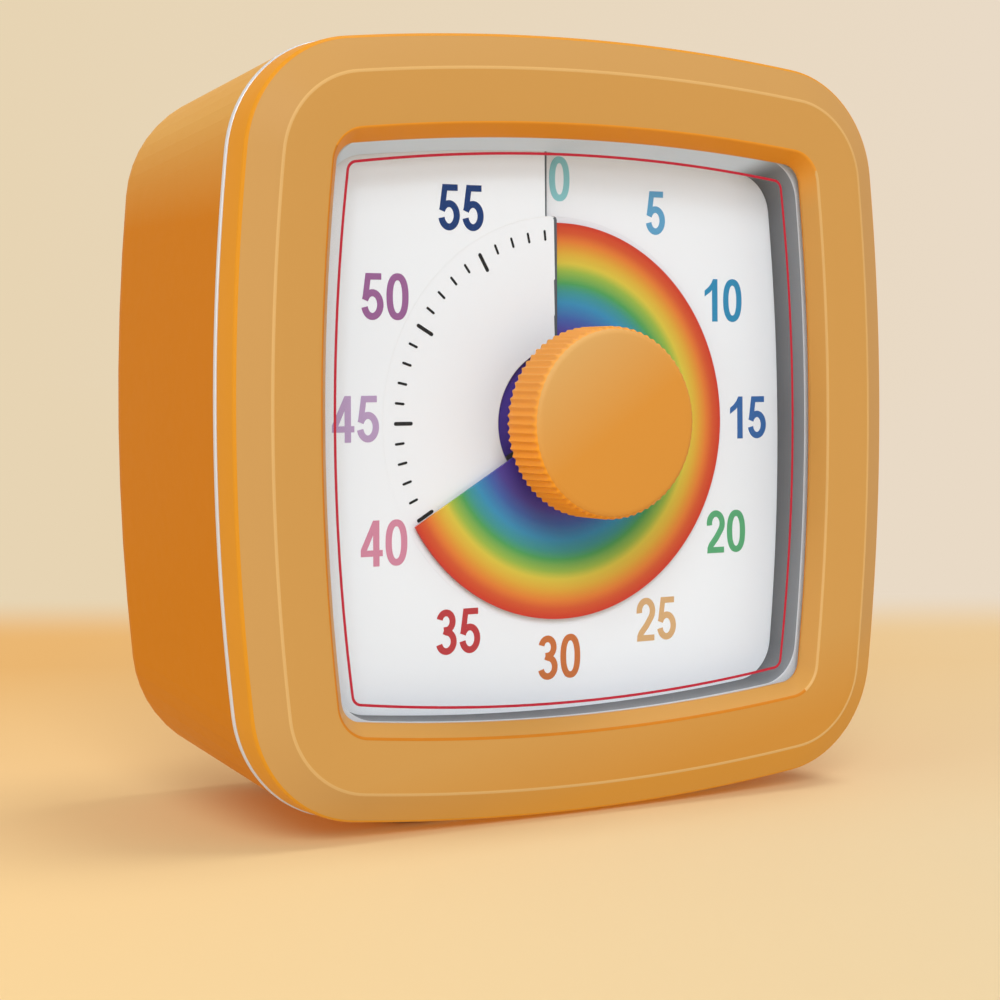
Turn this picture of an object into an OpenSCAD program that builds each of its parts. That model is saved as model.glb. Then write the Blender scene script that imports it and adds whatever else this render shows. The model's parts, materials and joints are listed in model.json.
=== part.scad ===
// Visual countdown timer: a square bulging case, a coloured film disc that
// screws through a slit in the dial card, and a quartz movement behind it.
// Pieces are drawn in a dial frame: x right, y up, u towards the viewer,
// u = 0 near the seam between the case's two halves. in_place() then stands
// the dial frame up.

/* [Case] */
// Width and height of the case across its front
front_size = 86; // [80:1:100]
// Width and height of the case at its back, before the rounded edge
back_size = 80.6; // [76:0.2:92]
// Depth of the case behind u = 0
back_depth = 34.5; // [33:0.5:44]
// Radius of the gentle bulge of each side
bulge_r = 265; // [180:5:500]
// Radius of the case's corners
corner_r = 13.4; // [11:0.2:18]
// Rounded edge around the back
back_edge_r = 3; // [2.2:0.2:4]
// Wall of the rear case
case_wall = 2; // [1.6:0.1:2.6]
// Wall of the front bezel
bezel_wall = 2.2; // [1.8:0.1:2.6]
// Height of the front face
face_u = 6.75; // [6.4:0.05:8]
// Width of the slope around the front face
slope_w = 3.5; // [2.5:0.1:4.5]
// Depth of the slope around the front face
slope_h = 2.2; // [1.6:0.1:2.4]
// Thickness of the silver trim ring in the seam
trim_t = 1; // [0.6:0.1:1.4]
// Height of the seam's middle
seam_u = 0.44; // [0.3:0.02:0.6]

/* [Window] */
// Width of the bezel, from the outside of the case to its opening
face_w = 10.8; // [10.4:0.1:12.4]
// How far the grey wall around the dial runs in under the opening
wall_slant = 0.75; // [0.4:0.05:2]
// Radius of the visible dial's corners
window_corner_r = 5; // [3:0.2:8]
// Thickness of the clear lens
lens_t = 0.8; // [0.6:0.05:1]
// Height of the lens's back face
lens_u = 3.45; // [3.2:0.05:3.6]
// Hole in the lens for the neck of the knob
lens_hole_r = 5.2; // [5:0.1:6.4]

/* [Dial and disc] */
// Height of the dial's axis above the centre of the case
dial_rise = 0.6; // [0:0.1:1]
// Height of the card's lower edge at the slit
card_u = -1.3; // [-1.4:0.05:-1.1]
// Advance of the disc for one full turn
pitch = 1.6; // [1.5:0.05:1.7]
// Thickness of the dial card
card_t = 0.5; // [0.4:0.05:0.6]
// Radius of the round hole in the dial card
card_hole_r = 8.4; // [7:0.1:10]
// How far the slit stands beside the dial's axis
slit_x = 0.8; // [0:0.1:1.2]
// Sideways step of the slit outside the disc
slit_jog = 1.35; // [0.8:0.05:2]
// Radius of the time disc
disc_r = 22.4; // [20:0.1:23]
// Thickness of the time disc's film
disc_t = 0.3; // [0.2:0.05:0.4]
// Minutes left on the dial as drawn
minutes_left = 40; // [10:1:50]

/* [Knob] */
// Radius of the knob over its ribs
knob_r = 10.6; // [9.5:0.1:13]
// Height of the knob's front face
knob_u = 11.6; // [10.6:0.1:14]
// Depth of the knob's grip
knob_h = 6.2; // [5.2:0.1:6.6]
// Number of grip ribs
knob_ribs = 72; // [48:1:96]
// Depth of the grip ribs
rib_h = 0.32; // [0.2:0.02:0.5]
// Radius of the neck behind the knob
neck_r = 4.4; // [4.2:0.1:4.8]
// Radius of the steel arbor
arbor_r = 1.5; // [1.2:0.05:1.6]

/* [Gear train] */
// Teeth of the centre wheel
centre_teeth = 60; // [60:1:62]
// Teeth of the third wheel
third_teeth = 60; // [58:1:62]
// Teeth of the second wheel
second_teeth = 50; // [48:1:52]
// Teeth of every pinion
pinion_teeth = 10; // [10:1:11]
// Module of the centre wheel's mesh
centre_module = 0.4; // [0.38:0.01:0.41]
// Module of the third wheel's mesh
third_module = 0.35; // [0.34:0.01:0.36]
// Module of the second wheel's mesh
second_module = 0.3; // [0.29:0.01:0.31]
// Thickness of the wheels
wheel_t = 1; // [0.8:0.05:1.1]

/* [Movement] */
// Width of the movement housing
movement_w = 52; // [51:0.5:56]
// Height of the movement housing
movement_h = 45.4; // [45:0.2:48]
// Depth of the movement housing behind the tray
movement_d = 11.8; // [11.6:0.1:12]
// Wall of the movement housing
movement_wall = 1.2; // [1:0.1:1.3]

/* [Battery] */
// Diameter of the AA cell
cell_d = 14.2; // [13.5:0.1:14.6]
// Length of the AA cell over its cap
cell_l = 50.3; // [49:0.1:51]
// Wall of the battery bay
bay_wall = 1.2; // [1:0.1:1.6]
// Thickness of the battery door
door_t = 1.8; // [1.6:0.1:1.9]
// Gap around the battery door
door_gap = 0.3; // [0.25:0.05:0.5]

/* [Electronics] */
// Width of the circuit board
board_w = 30; // [28:0.5:31]
// Height of the circuit board
board_h = 38; // [34:0.5:39]
// Thickness of the circuit board
board_t = 1.6; // [1.2:0.1:1.8]
// Radius of the speaker
speaker_r = 10; // [8:0.5:11]
// Travel of the sound switch to each side
switch_travel = 2; // [1:0.25:2.5]

/* [Fit] */
// Gap between pieces that seat on each other
seat_gap = 0.1; // [0.05:0.01:0.15]
// Radial clearance of a shaft that turns
running_gap = 0.06; // [0.02:0.01:0.09]
// How far the feet lift the case off the surface
foot_drop = 0.4; // [0.2:0.1:1.5]

/* [Hidden] */

$fn = 48;
side_steps = 4;      // facets on half a bulging side
corner_steps = 10;   // facets on a corner
edge_steps = 4;      // facets on a rounded edge
sweep_sides = 8;     // facets round a wire

front_half = front_size / 2;
back_half = back_size / 2;
min_corner_r = 1.2;
case_z = front_half + foot_drop;
back_u = -back_depth;
dial_y = (knob_u + back_u) / 2;

// ---------- placing ----------

module in_place() {
    translate([0, dial_y, case_z]) rotate([90, 0, 0]) children();
}

// A solid between two heights, from a flat shape.
module slab(u_low, u_high) {
    translate([0, 0, u_low]) linear_extrude(u_high - u_low) children();
}

module rod(r, u_low, u_high, at = [0, 0]) {
    translate([at[0], at[1], u_low]) cylinder(r = r, h = u_high - u_low);
}

// ---------- outlines ----------

function turned(p, quarter) =
    quarter == 0 ? p : quarter == 1 ? [p[1], -p[0]]
    : quarter == 2 ? [-p[0], -p[1]] : [-p[1], p[0]];

// Centre of a corner's arc, on the diagonal.
function corner_centre(half, bulge, corner) =
    let (back = bulge - half, reach = bulge - corner)
    (sqrt(2 * reach * reach - back * back) - back) / 2;

// Bulging square as points, clockwise from the top as the viewer sees it.
function outline(half, bulge, corner) =
    let (
        back = bulge - half,
        c = corner_centre(half, bulge, corner),
        a = atan2(c, c + back)
    )
    [for (quarter = [0:3]) each [
        for (i = [0:side_steps - 1])
            let (t = a * i / side_steps)
            turned([bulge * sin(t), bulge * cos(t) - back], quarter),
        for (i = [0:corner_steps - 1])
            let (t = a + (90 - 2 * a) * i / corner_steps)
            turned([c + corner * sin(t), c + corner * cos(t)], quarter),
        for (i = [0:side_steps - 1])
            let (t = 90 - a + a * i / side_steps)
            turned([bulge * sin(t) - back, bulge * cos(t)], quarter)
    ]];

// Outline of the case, moved inwards by an inset.
function case_outline(inset) =
    outline(front_half - inset, bulge_r - inset, max(corner_r - inset, min_corner_r));

function inside(p, half, bulge, corner) =
    let (
        x = abs(p[0]), y = abs(p[1]), back = bulge - half,
        c = corner_centre(half, bulge, corner), a = atan2(c, c + back)
    )
    atan2(x, y + back) <= a ? norm([x, y + back]) <= bulge
    : atan2(y, x + back) <= a ? norm([x + back, y]) <= bulge
    : norm([x - c, y - c]) <= corner;

// Distance from the dial's axis to an outline, at an angle from 12 o'clock.
function reach(angle, half, bulge, corner, low = 0, high = 70, steps = 22) =
    steps == 0 ? low
    : let (
        mid = (low + high) / 2,
        p = [mid * sin(angle), mid * cos(angle) + dial_rise]
    )
    inside(p, half, bulge, corner)
        ? reach(angle, half, bulge, corner, mid, high, steps - 1)
        : reach(angle, half, bulge, corner, low, mid, steps - 1);

function lifted(points, u) = [for (p = points) [p[0], p[1], u]];

// Skin over a list of rings of points. The rings run up the outside and
// down the inside. A capped skin ends in a flat face at both ends.
module skin(rings, capped = false) {
    n = len(rings[0]);
    m = len(rings);
    last = capped ? m - 2 : m - 1;
    sides = [for (k = [0:last], i = [0:n - 1])
        let (
            j = (i + 1) % n, next = (k + 1) % m,
            a = k * n + i, b = k * n + j, c = next * n + j, d = next * n + i
        )
        each [[a, b, c], [a, c, d]]];
    caps = [[for (i = [n - 1:-1:0]) i], [for (i = [0:n - 1]) (m - 1) * n + i]];
    polyhedron([for (r = rings) each r], capped ? concat(caps, sides) : sides);
}

// Thin sheet over a grid of points, rows outwards and columns clockwise.
module sheet(grid, t) {
    m = len(grid);
    n = len(grid[0]);
    flat = [for (row = grid) each row];
    front = [for (p = flat) [p[0], p[1], p[2] + t / 2]];
    back = [for (p = flat) [p[0], p[1], p[2] - t / 2]];
    s = m * n;
    faces = [for (k = [0:m - 2], i = [0:n - 2])
        let (a = k * n + i, b = a + 1, c = b + n, d = a + n)
        each [[a, d, c], [a, c, b], [s + a, s + b, s + c], [s + a, s + c, s + d]]];
    rims = [for (i = [0:n - 2])
        let (o = (m - 1) * n + i)
        each [
            [i, i + 1, s + i + 1], [i, s + i + 1, s + i],
            [o, s + o, s + o + 1], [o, s + o + 1, o + 1]
        ]];
    ends = [for (k = [0:m - 2])
        let (a = k * n, b = a + n, e = a + n - 1, f = e + n)
        each [
            [b, a, s + a], [b, s + a, s + b],
            [e, f, s + f], [e, s + f, s + e]
        ]];
    polyhedron(concat(front, back), concat(faces, rims, ends));
}

// Round tube along a route, for a wire. The reference is a direction that
// the route never takes.
module tube(route, r, reference) {
    m = len(route);
    rings = [for (k = [0:m - 1])
        let (
            way = route[min(k + 1, m - 1)] - route[max(k - 1, 0)],
            along = way / norm(way),
            side = cross(along, reference),
            x = side / norm(side), y = cross(x, along)
        )
        [for (i = [0:sweep_sides - 1])
            let (a = -360 * i / sweep_sides) route[k] + r * (cos(a) * x - sin(a) * y)]];
    skin(rings, capped = true);
}

// ---------- case ----------

trim_high = seam_u + trim_t / 2;
trim_low = seam_u - trim_t / 2;
trim_proud = 0.1;
bezel_inner_half = front_half - bezel_wall;
side_top_u = face_u - slope_h;
face_round = 0.35;     // softening of the face's two edges
side_round = 0.45;     // softening between the side and the slope
sink = 0.5;            // how deep a boss is rooted in what carries it
cut = 1;               // how far a cut runs past the surface
opening_half = front_half - face_w;
opening_bevel = 1.05;
opening_step = 0.5;
lens_ledge = 2.6;
lens_half = opening_half + lens_ledge;
lens_rib = 1;
roof_t = 1.85;
roof_u = face_u - roof_t;

function bezel_ring(half, u) = lifted(case_outline(front_half - half), u);

tray_play = 0.4;
tray_half = bezel_inner_half - tray_play;
tray_top = card_u - card_t / 2 - seat_gap / 2;
tray_t = 2.2;
tray_low = tray_top - tray_t;

// Bosses that the tray's screws bite into, beside the inner frame.
frame_half = lens_half + lens_rib + 2 * seat_gap;
tray_post_y = 16;
tray_post_r = 1.9;
tray_post_x = frame_half + tray_play + tray_post_r;
tray_posts = [for (x = [-1, 1], y = [-1, 1]) [x * tray_post_x, y * tray_post_y]];
small_screw_r = 0.9;
small_head_r = 1.6;
small_head_h = 1.1;
screw_play = 0.05;     // gap around a screw's thread
screw_pass = 0.2;      // gap around a screw's shank
thread_end = 0.6;      // blind end of a screw's hole

module front_bezel() {
    color("#D59B50") in_place() difference() {
        union() {
            skin([
                bezel_ring(front_half, trim_high),
                bezel_ring(front_half, side_top_u - side_round),
                bezel_ring(front_half - side_round / 4, side_top_u + side_round / 4),
                bezel_ring(front_half - side_round, side_top_u + side_round),
                bezel_ring(front_half - slope_w + face_round, face_u - face_round * 0.6),
                bezel_ring(front_half - slope_w, face_u - face_round / 8),
                bezel_ring(front_half - slope_w - face_round, face_u),
                bezel_ring(opening_half + opening_bevel + face_round, face_u),
                bezel_ring(opening_half + opening_bevel, face_u - face_round / 2),
                bezel_ring(opening_half + opening_step / 4, lens_u + lens_t + opening_step),
                bezel_ring(opening_half, lens_u + lens_t + opening_step / 2),
                bezel_ring(opening_half, lens_u + lens_t),
                bezel_ring(lens_half + seat_gap, lens_u + lens_t),
                bezel_ring(lens_half + seat_gap, lens_u + seat_gap / 2),
                bezel_ring(lens_half + lens_rib, lens_u + seat_gap / 2),
                bezel_ring(lens_half + lens_rib, roof_u),
                bezel_ring(front_half - slope_w - bezel_wall / 2, roof_u),
                bezel_ring(bezel_inner_half, side_top_u - bezel_wall / 2),
                bezel_ring(bezel_inner_half, trim_high)
            ]);
            for (p = tray_posts)
                rod(tray_post_r, tray_top + seat_gap / 2, roof_u + sink / 2, p);
        }
        for (p = tray_posts)
            rod(small_screw_r + screw_play, tray_top - cut, roof_u - thread_end, p);
    }
}

module trim_ring() {
    color("#D8D4D0") in_place() skin([
        bezel_ring(front_half + trim_proud, trim_low),
        bezel_ring(front_half + trim_proud, trim_high),
        bezel_ring(bezel_inner_half + trim_proud, trim_high),
        bezel_ring(bezel_inner_half + trim_proud, trim_low)
    ]);
}

// Half-width of the tapered rear case at a height.
edge_u = back_u + back_edge_r;
function taper_half(u) =
    back_half + (front_half - back_half) * (u - edge_u) / (trim_low - edge_u);

function rear_ring(half, u) = lifted(outline(half, bulge_r, corner_r + half - taper_half(u)), u);

function rear_edge(half, r, u) = [for (i = [0:edge_steps])
    let (a = 90 * i / edge_steps)
    rear_ring(half - r * (1 - sin(a)), u + r * (1 - cos(a)))];

wall_u = back_u + case_wall;      // inner face of the back wall
inner_edge_r = max(back_edge_r - case_wall, 0.5);

module rear_shell() {
    outer = rear_edge(back_half, back_edge_r, back_u);
    inner = rear_edge(back_half - case_wall, inner_edge_r, wall_u);
    skin(concat(
        outer,
        [rear_ring(front_half, trim_low), rear_ring(front_half - case_wall, trim_low)],
        [for (i = [edge_steps:-1:0]) inner[i]]
    ), capped = true);
}

// Case screws, from the back into bosses on the tray.
post_inset_front = 9.8;     // from the side of the case at its front
post_inset_back = 8.5;      // and at its back
case_post = min(front_half - post_inset_front, back_half - post_inset_back);
case_posts = [for (x = [-1, 1], y = [-1, 1]) [x * case_post, y * case_post]];
case_post_r = 3.4;
case_post_u = -9;
screw_r = 1.25;
screw_head_r = 2.4;
screw_head_h = 1.6;
screw_l = 10.2;
screw_seat_u = case_post_u - screw_l / 2;
screw_tip_u = screw_seat_u + screw_l;
post_hole_r = screw_head_r + 0.3;

// Battery bay.
bay_y = -20;
cell_r = cell_d / 2;
bay_end = 3.1;          // room for a contact at each end of the cell
bay_side = 0.95;        // room beside the cell
bay_room = 0.5;         // room over the cell
bay_half_l = cell_l / 2 + bay_end;
bay_half_h = cell_r + bay_side;
door_low_u = back_u;
door_high_u = back_u + door_t;
door_rib = 0.55;
cell_u = door_high_u + seat_gap + door_rib + 0.15 + cell_r;
bay_top_u = cell_u + cell_r + bay_room;
door_overlap = bay_wall - door_gap - 0.15;
door_half_l = bay_half_l + door_overlap;
door_half_h = bay_half_h + door_overlap;
hinge_r = door_t / 2;
hinge_u = back_u + hinge_r;
hinge_y = bay_y - door_half_h + hinge_r;
pin_r = 0.6;
pin_l = 1.4;
pin_block = 2.6;
pin_block_half = 2;

// Sound switch.
board_inset = 3.8;      // from the middle of a case screw to the board's side
board_x = case_post - board_inset - board_w / 2;
board_y = 11.5;
board_lift = 3.9;
board_low_u = wall_u + board_lift;
board_top_u = board_low_u + board_t;
switch_at = [board_x, 4];
slider_w = 3;
slider_h = 2.2;
slider_play = 0.3;
slot_half_w = slider_w / 2 + switch_travel + slider_play;
slot_half_h = slider_h / 2 + slider_play;
dish_depth = 0.9;
dish_margin = 1.5;

// Circuit board posts.
board_hole_in = 2.6;
board_hole_x = board_w / 2 - board_hole_in;
board_hole_y = board_h / 2 - board_hole_in;
board_posts = [for (s = [-1, 1]) [board_x + s * board_hole_x, board_y + s * board_hole_y]];
board_post_r = 2;

// Speaker.
speaker_at = [-17, 13];
speaker_t = 4;
speaker_gap = 0.2;
speaker_low_u = wall_u + speaker_gap;
speaker_rim = 1;
speaker_rim_h = 2.4;
speaker_play = 0.3;
grille_r = 0.7;
grille_step = 2.8;
grille_rings = 2;

foot_r = 3.8;
foot_x = 18;
foot_front_u = -5;
foot_back_u = -28;
foot_sink = 0.65;
feet = [for (x = [-1, 1], u = [foot_front_u, foot_back_u]) [x * foot_x, u]];
// Height of the underside where a foot sits.
function foot_seat(x, u) =
    bulge_r - sqrt(bulge_r * bulge_r - x * x) - taper_half(u) + foot_sink;

// Round hole or peg along the y axis.
module upright(r, y_low, y_high, x, u) {
    translate([x, y_high, u]) rotate([90, 0, 0]) cylinder(r = r, h = y_high - y_low);
}

// The two ends of a length that is centred on a place.
function span(at, half) = [at - half, at + half];

module box(x, y, u) {
    translate([x[0], y[0], u[0]]) cube([x[1] - x[0], y[1] - y[0], u[1] - u[0]]);
}

// Round bar along the door's hinge axis.
module across(r, half_l) {
    translate([-half_l, hinge_y, hinge_u]) rotate([0, 90, 0]) cylinder(r = r, h = 2 * half_l);
}

module grille() {
    rod(grille_r, back_u - cut, wall_u + cut, speaker_at);
    for (ring = [1:grille_rings], i = [0:6 * ring - 1])
        let (a = 360 * i / (6 * ring), r = ring * grille_step)
        rod(grille_r, back_u - cut, wall_u + cut, speaker_at + r * [sin(a), cos(a)]);
}

module rear_case() {
    color("#CB7B20") in_place() difference() {
        union() {
            rear_shell();
            for (p = case_posts)
                rod(case_post_r, wall_u - sink, case_post_u - seat_gap, p);
            for (p = board_posts)
                rod(board_post_r, wall_u - sink, board_low_u, p);
            box(span(0, bay_half_l + bay_wall), span(bay_y, bay_half_h + bay_wall),
                [wall_u - sink, bay_top_u + bay_wall]);
            for (side = [-1, 1])
                box(span(side * (door_half_l + door_gap + pin_block / 2), pin_block / 2),
                    span(hinge_y, pin_block_half), [wall_u - sink, hinge_u + pin_block]);
            rod(speaker_r + speaker_play + speaker_rim, wall_u - sink,
                speaker_low_u + speaker_rim_h, speaker_at);
        }
        for (p = case_posts) {
            rod(screw_r + screw_pass, screw_seat_u - cut, case_post_u + cut, p);
            rod(post_hole_r, back_u - cut, screw_seat_u, p);
        }
        for (p = board_posts)
            rod(small_screw_r + screw_play, wall_u + thread_end / 2, board_low_u + cut, p);
        // Room beside the wall for the tray, its posts and its screws' heads.
        slab(tray_low - seat_gap, trim_low + cut)
            polygon(case_outline(front_half - tray_half - seat_gap / 2));
        for (p = tray_posts) {
            rod(small_head_r + seat_gap / 2, tray_low - small_head_h - seat_gap, tray_low, p);
            rod(tray_post_r + seat_gap / 2, tray_top, trim_low + cut, p);
        }
        box(span(0, bay_half_l), span(bay_y, bay_half_h), [back_u - cut, bay_top_u]);
        box(span(0, door_half_l + door_gap), span(bay_y, door_half_h + door_gap),
            [back_u - cut, door_high_u + seat_gap]);
        across(pin_r + running_gap, door_half_l + door_gap + pin_l + seat_gap);
        for (side = [-1, 1])
            box(span(side * (bay_half_l - tab_slot / 2), tab_slot / 2),
                span(bay_y + bay_half_h + bay_wall / 2, bay_wall),
                span(cell_u, tab_half_w + tab_play));
        box(span(switch_at[0], slot_half_w), span(switch_at[1], slot_half_h),
            [back_u - cut, wall_u + cut]);
        box(span(switch_at[0], slot_half_w + dish_margin),
            span(switch_at[1], slot_half_h + dish_margin), [back_u - cut, back_u + dish_depth]);
        rod(speaker_r + speaker_play, speaker_low_u - speaker_gap, speaker_low_u + speaker_t, speaker_at);
        grille();
        for (f = feet)
            upright(foot_r + seat_gap, -case_z - cut, foot_seat(f[0], f[1]), f[0], f[1]);
    }
}

module rubber_feet() {
    color("#3A3836") in_place() for (f = feet)
        upright(foot_r, -case_z, foot_seat(f[0], f[1]), f[0], f[1]);
}

module case_screws() {
    color("#9A9C9E") in_place() for (p = case_posts) {
        rod(screw_head_r, screw_seat_u - screw_head_h, screw_seat_u, p);
        rod(screw_r, screw_seat_u - sink, screw_tip_u, p);
    }
}

// ---------- window and dial ----------

module lens() {
    color("#E8F0F4", 0.3) in_place() difference() {
        slab(lens_u, lens_u + lens_t) polygon(case_outline(front_half - lens_half));
        rod(lens_hole_r, lens_u - cut, lens_u + lens_t + cut, [0, dial_rise]);
    }
}

window_half = opening_half - wall_slant;
card_lap = 1.75;                      // how far the frame covers the card
card_half = window_half + card_lap;
pocket_half = card_half + 0.3;
frame_top = lens_u - seat_gap / 2;
frame_low = tray_top + pitch + card_t + seat_gap;
lip_half = opening_half - 0.25;
frame_corner = window_corner_r + 3;   // outer corners of the inner frame
card_corner = window_corner_r + 1;
ramp_end = 0.013;                     // share of a turn after the slit
slit_angle = asin((slit_x + slit_jog) / card_half);

// Shares of a turn from the slit at which the dial's rims have points.
turns = concat([0], [for (p = outline(window_half, bulge_r, window_corner_r))
    let (a = atan2(p[0], p[1] - dial_rise), t = (a + slit_angle + (a < -slit_angle / 2 ? 360 : 0)) / 360)
    if (t > ramp_end && t < 1 - ramp_end / 2) t], [1]);

function rim_point(t, half, corner, u) =
    let (a = 360 * t - slit_angle, r = reach(a, half, bulge_r - front_half + half, corner))
    [r * sin(a), r * cos(a) + dial_rise, u];

// The frame's lower edge follows the front of the card.
function frame_edge_u(t) = card_u + card_t / 2 + seat_gap + pitch * (t == 0 ? 1 : t);

module inner_frame() {
    around = [for (i = [0:len(turns) - 2]) turns[i]];
    color("#C9CACB") in_place() skin([
        [for (t = around) rim_point(t, frame_half, frame_corner, frame_low)],
        [for (t = around) rim_point(t, frame_half, frame_corner, frame_top)],
        [for (t = around) rim_point(t, lip_half, window_corner_r, frame_top)],
        [for (t = around) rim_point(t, window_half, window_corner_r, frame_edge_u(t))],
        [for (t = around) rim_point(t, card_half, card_corner, frame_edge_u(t))],
        [for (t = around) rim_point(t, card_half, card_corner, frame_low)]
    ]);
}

// Rows of the card, each with its radius and its share of the slit's step.
slit_end = disc_r + 0.3;
card_rows = [
    [card_hole_r, 0], [slit_end, 0], [slit_end + 0.32, 0.12],
    [slit_end + 0.42, 0.5], [slit_end + 0.4, 1]
];

module dial_card() {
    rows = [for (row = card_rows)
        [for (t = turns)
            let (a = 360 * t - asin((slit_x + row[1] * slit_jog) / row[0]))
            [row[0] * sin(a), row[0] * cos(a) + dial_rise, card_u + pitch * t]]];
    rim = [for (t = turns) rim_point(t, card_half - seat_gap, card_corner, card_u + pitch * t)];
    color("#EBEBEB") in_place() sheet(concat(rows, [rim]), card_t);
}

movement_x = 1.5;
movement_y = 5.4 + dial_rise;
recess_r = disc_r + 1.2;
recess_u = tray_top - 1;
ear_reach = 2.6;        // from the movement's side to its screws
ear_inset = 6;          // from the movement's ends to its screws
bush_hole_r = 4.3;
hub_r = 4;
ear_posts = [for (x = [-1, 1], y = [-1, 1])
    [movement_x + x * (movement_w / 2 + ear_reach), movement_y + y * (movement_h / 2 - ear_inset)]];
ear_r = 2.5;
ear_l = 4.5;
ear_u = tray_low - ear_l;

module dial_tray() {
    color("#DDDEDF") in_place() difference() {
        union() {
            slab(tray_low, tray_top) polygon(case_outline(front_half - tray_half));
            slab(tray_top - sink, frame_low) difference() {
                polygon(case_outline(front_half - frame_half));
                polygon(outline(pocket_half, bulge_r, card_corner));
            }
            for (p = case_posts) rod(case_post_r - screw_pass, case_post_u, tray_low + sink, p);
            for (p = ear_posts) rod(ear_r, ear_u, tray_low + sink, p);
        }
        rod(recess_r, recess_u, tray_top + cut, [0, dial_rise]);
        rod(bush_hole_r, tray_low - cut, tray_top + cut, [0, dial_rise]);
        for (p = case_posts)
            rod(screw_r + screw_play, case_post_u - cut, screw_tip_u + thread_end, p);
        for (p = ear_posts)
            rod(small_screw_r + screw_play, ear_u - cut, tray_low - thread_end / 2, p);
        for (p = tray_posts)
            rod(small_screw_r + screw_pass, tray_low - cut, tray_top + cut, p);
    }
}

module small_screw(at, head_u, length) {
    rod(small_head_r, head_u - small_head_h, head_u, at);
    rod(small_screw_r, head_u - small_head_h / 2, head_u + length, at);
}

module tray_screws() {
    color("#9A9C9E") in_place() for (p = tray_posts)
        small_screw(p, tray_low, roof_u - 2 * thread_end - tray_low);
}

// ---------- disc and knob ----------

rest_turn = minutes_left / 60;
kerf = 0.0022;      // share of a turn cut out between the disc's two ends
disc_hole_r = hub_r + 0.35;
disc_columns = 72;
disc_rows = 3;
hub_low = tray_top - 0.7;
hub_high = lens_u - 0.4;

module time_disc() {
    grid = [for (k = [0:disc_rows])
        [for (i = [0:disc_columns])
            let (
                r = disc_hole_r + (disc_r - disc_hole_r) * k / disc_rows,
                t = rest_turn - (1 - kerf) * (1 - i / disc_columns)
            )
            [r * sin(360 * t), r * cos(360 * t) + dial_rise, card_u + pitch * (t + 0.5)]]];
    color("#D63E28") in_place() sheet(grid, disc_t);
}

module on_axis() {
    translate([0, dial_rise, 0]) children();
}

module disc_hub() {
    color("#F2F2F0") in_place() on_axis() difference() {
        rod(hub_r, hub_low, hub_high);
        rod(arbor_r, hub_low - cut, hub_high + cut);
    }
}

knob_low = knob_u - knob_h;
knob_round = 0.9;
knob_wall = 1.5;
knob_face_t = 2;
arbor_top = knob_u - knob_face_t + 0.3;

function rib_point(i, share) =
    let (a = 360 * (i + share) / knob_ribs, r = knob_r - rib_h * (1 - cos(360 * share)) / 2)
    [r * sin(a), r * cos(a)];

// The ribbed grip stops below a smooth, rounded face.
module knob() {
    core_r = knob_r - rib_h - seat_gap;
    color("#E4983F") in_place() on_axis() difference() {
        union() {
            slab(knob_low, knob_u - knob_round) polygon([for (i = [0:knob_ribs - 1], s = [0:0.25:0.75])
                rib_point(i, s)]);
            rotate_extrude() polygon(concat(
                [[0, knob_low + sink], [core_r, knob_low + sink]],
                [for (a = [0:15:90]) [
                    core_r - knob_round * (1 - cos(a)),
                    knob_u - knob_round * (1 - sin(a))
                ]],
                [[0, knob_u]]
            ));
            rod(neck_r, hub_high, knob_low + sink);
        }
        difference() {
            rod(knob_r - rib_h - knob_wall, knob_low - cut, knob_u - knob_face_t);
            rod(neck_r, knob_low - 2 * cut, knob_u);
        }
        rod(arbor_r, hub_high - cut, arbor_top + seat_gap);
    }
}

// Heights of the train, counted down from the movement's front plate.
plate_high = tray_low - seat_gap;
plate_low = plate_high - movement_wall;
wheel_space = 1;                             // between two wheels
centre_u = plate_low - wheel_space;           // front of the centre wheel
third_u = centre_u - wheel_t - wheel_space;   // front of the third wheel
second_u = third_u - wheel_t - wheel_space;   // front of the second wheel
magnet_u = second_u - wheel_t - 0.7;          // front of the rotor's magnet
pinion_under = 0.2;                           // a pinion's length behind its wheel
pinion_over = 0.4;                            // and beyond the wheel that drives it
plate_back_high = plate_high - movement_d + movement_wall;
collar_high = centre_u - wheel_t - 0.65;
collar_low = collar_high - 0.7;
arbor_end = 0.3;        // how far a step in an arbor stays off a plate
pivot_r = 0.6;
pivot_l = 0.8;
shaft_r = 0.85;
arbor_pivot_r = 1;

module arbor() {
    color("#B9BBBD") in_place() on_axis() {
        rod(arbor_r, plate_back_high + arbor_end, arbor_top);
        rod(collar_r, collar_low, collar_high);
        rod(arbor_pivot_r, plate_back_high - pivot_l, plate_back_high + arbor_end + sink);
    }
}

collar_r = 2.6;
wheel_hub_high = centre_u + 0.25;

module washer(r_in, r_out, u_low, u_high) {
    difference() {
        rod(r_out, u_low, u_high);
        rod(r_in, u_low - cut, u_high + cut);
    }
}

clip_r = 2.7;
clip_gap = 1.8;
clip_low = plate_low - seat_gap - 0.35;
wheel_hub_r = 3.2;

module retaining_clip() {
    color("#8E9092") in_place() on_axis() difference() {
        washer(arbor_r, clip_r, clip_low, plate_low - seat_gap);
        box(span(0, clip_gap / 2), [0, clip_r + cut], [clip_low - cut, plate_low]);
    }
}

module clutch_spring() {
    color("#C9A24A") in_place() on_axis()
        washer(arbor_r + 0.15, wheel_hub_r, wheel_hub_high + seat_gap / 2, clip_low - seat_gap / 2);
}

cam_r = 4.5;
cam_low = second_u - wheel_t + 0.1;
cam_high = second_u + pinion_over;
notch_r = 1.3;

module alarm_cam() {
    color("#F2F2F0") in_place() on_axis() difference() {
        rod(cam_r, cam_low, cam_high);
        rod(arbor_r, cam_low - cut, cam_high + cut);
        rotate(-360 * rest_turn) rod(notch_r, cam_low - cut, cam_high + cut, [0, -cam_r - notch_r / 2]);
    }
}

// ---------- gears ----------

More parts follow.
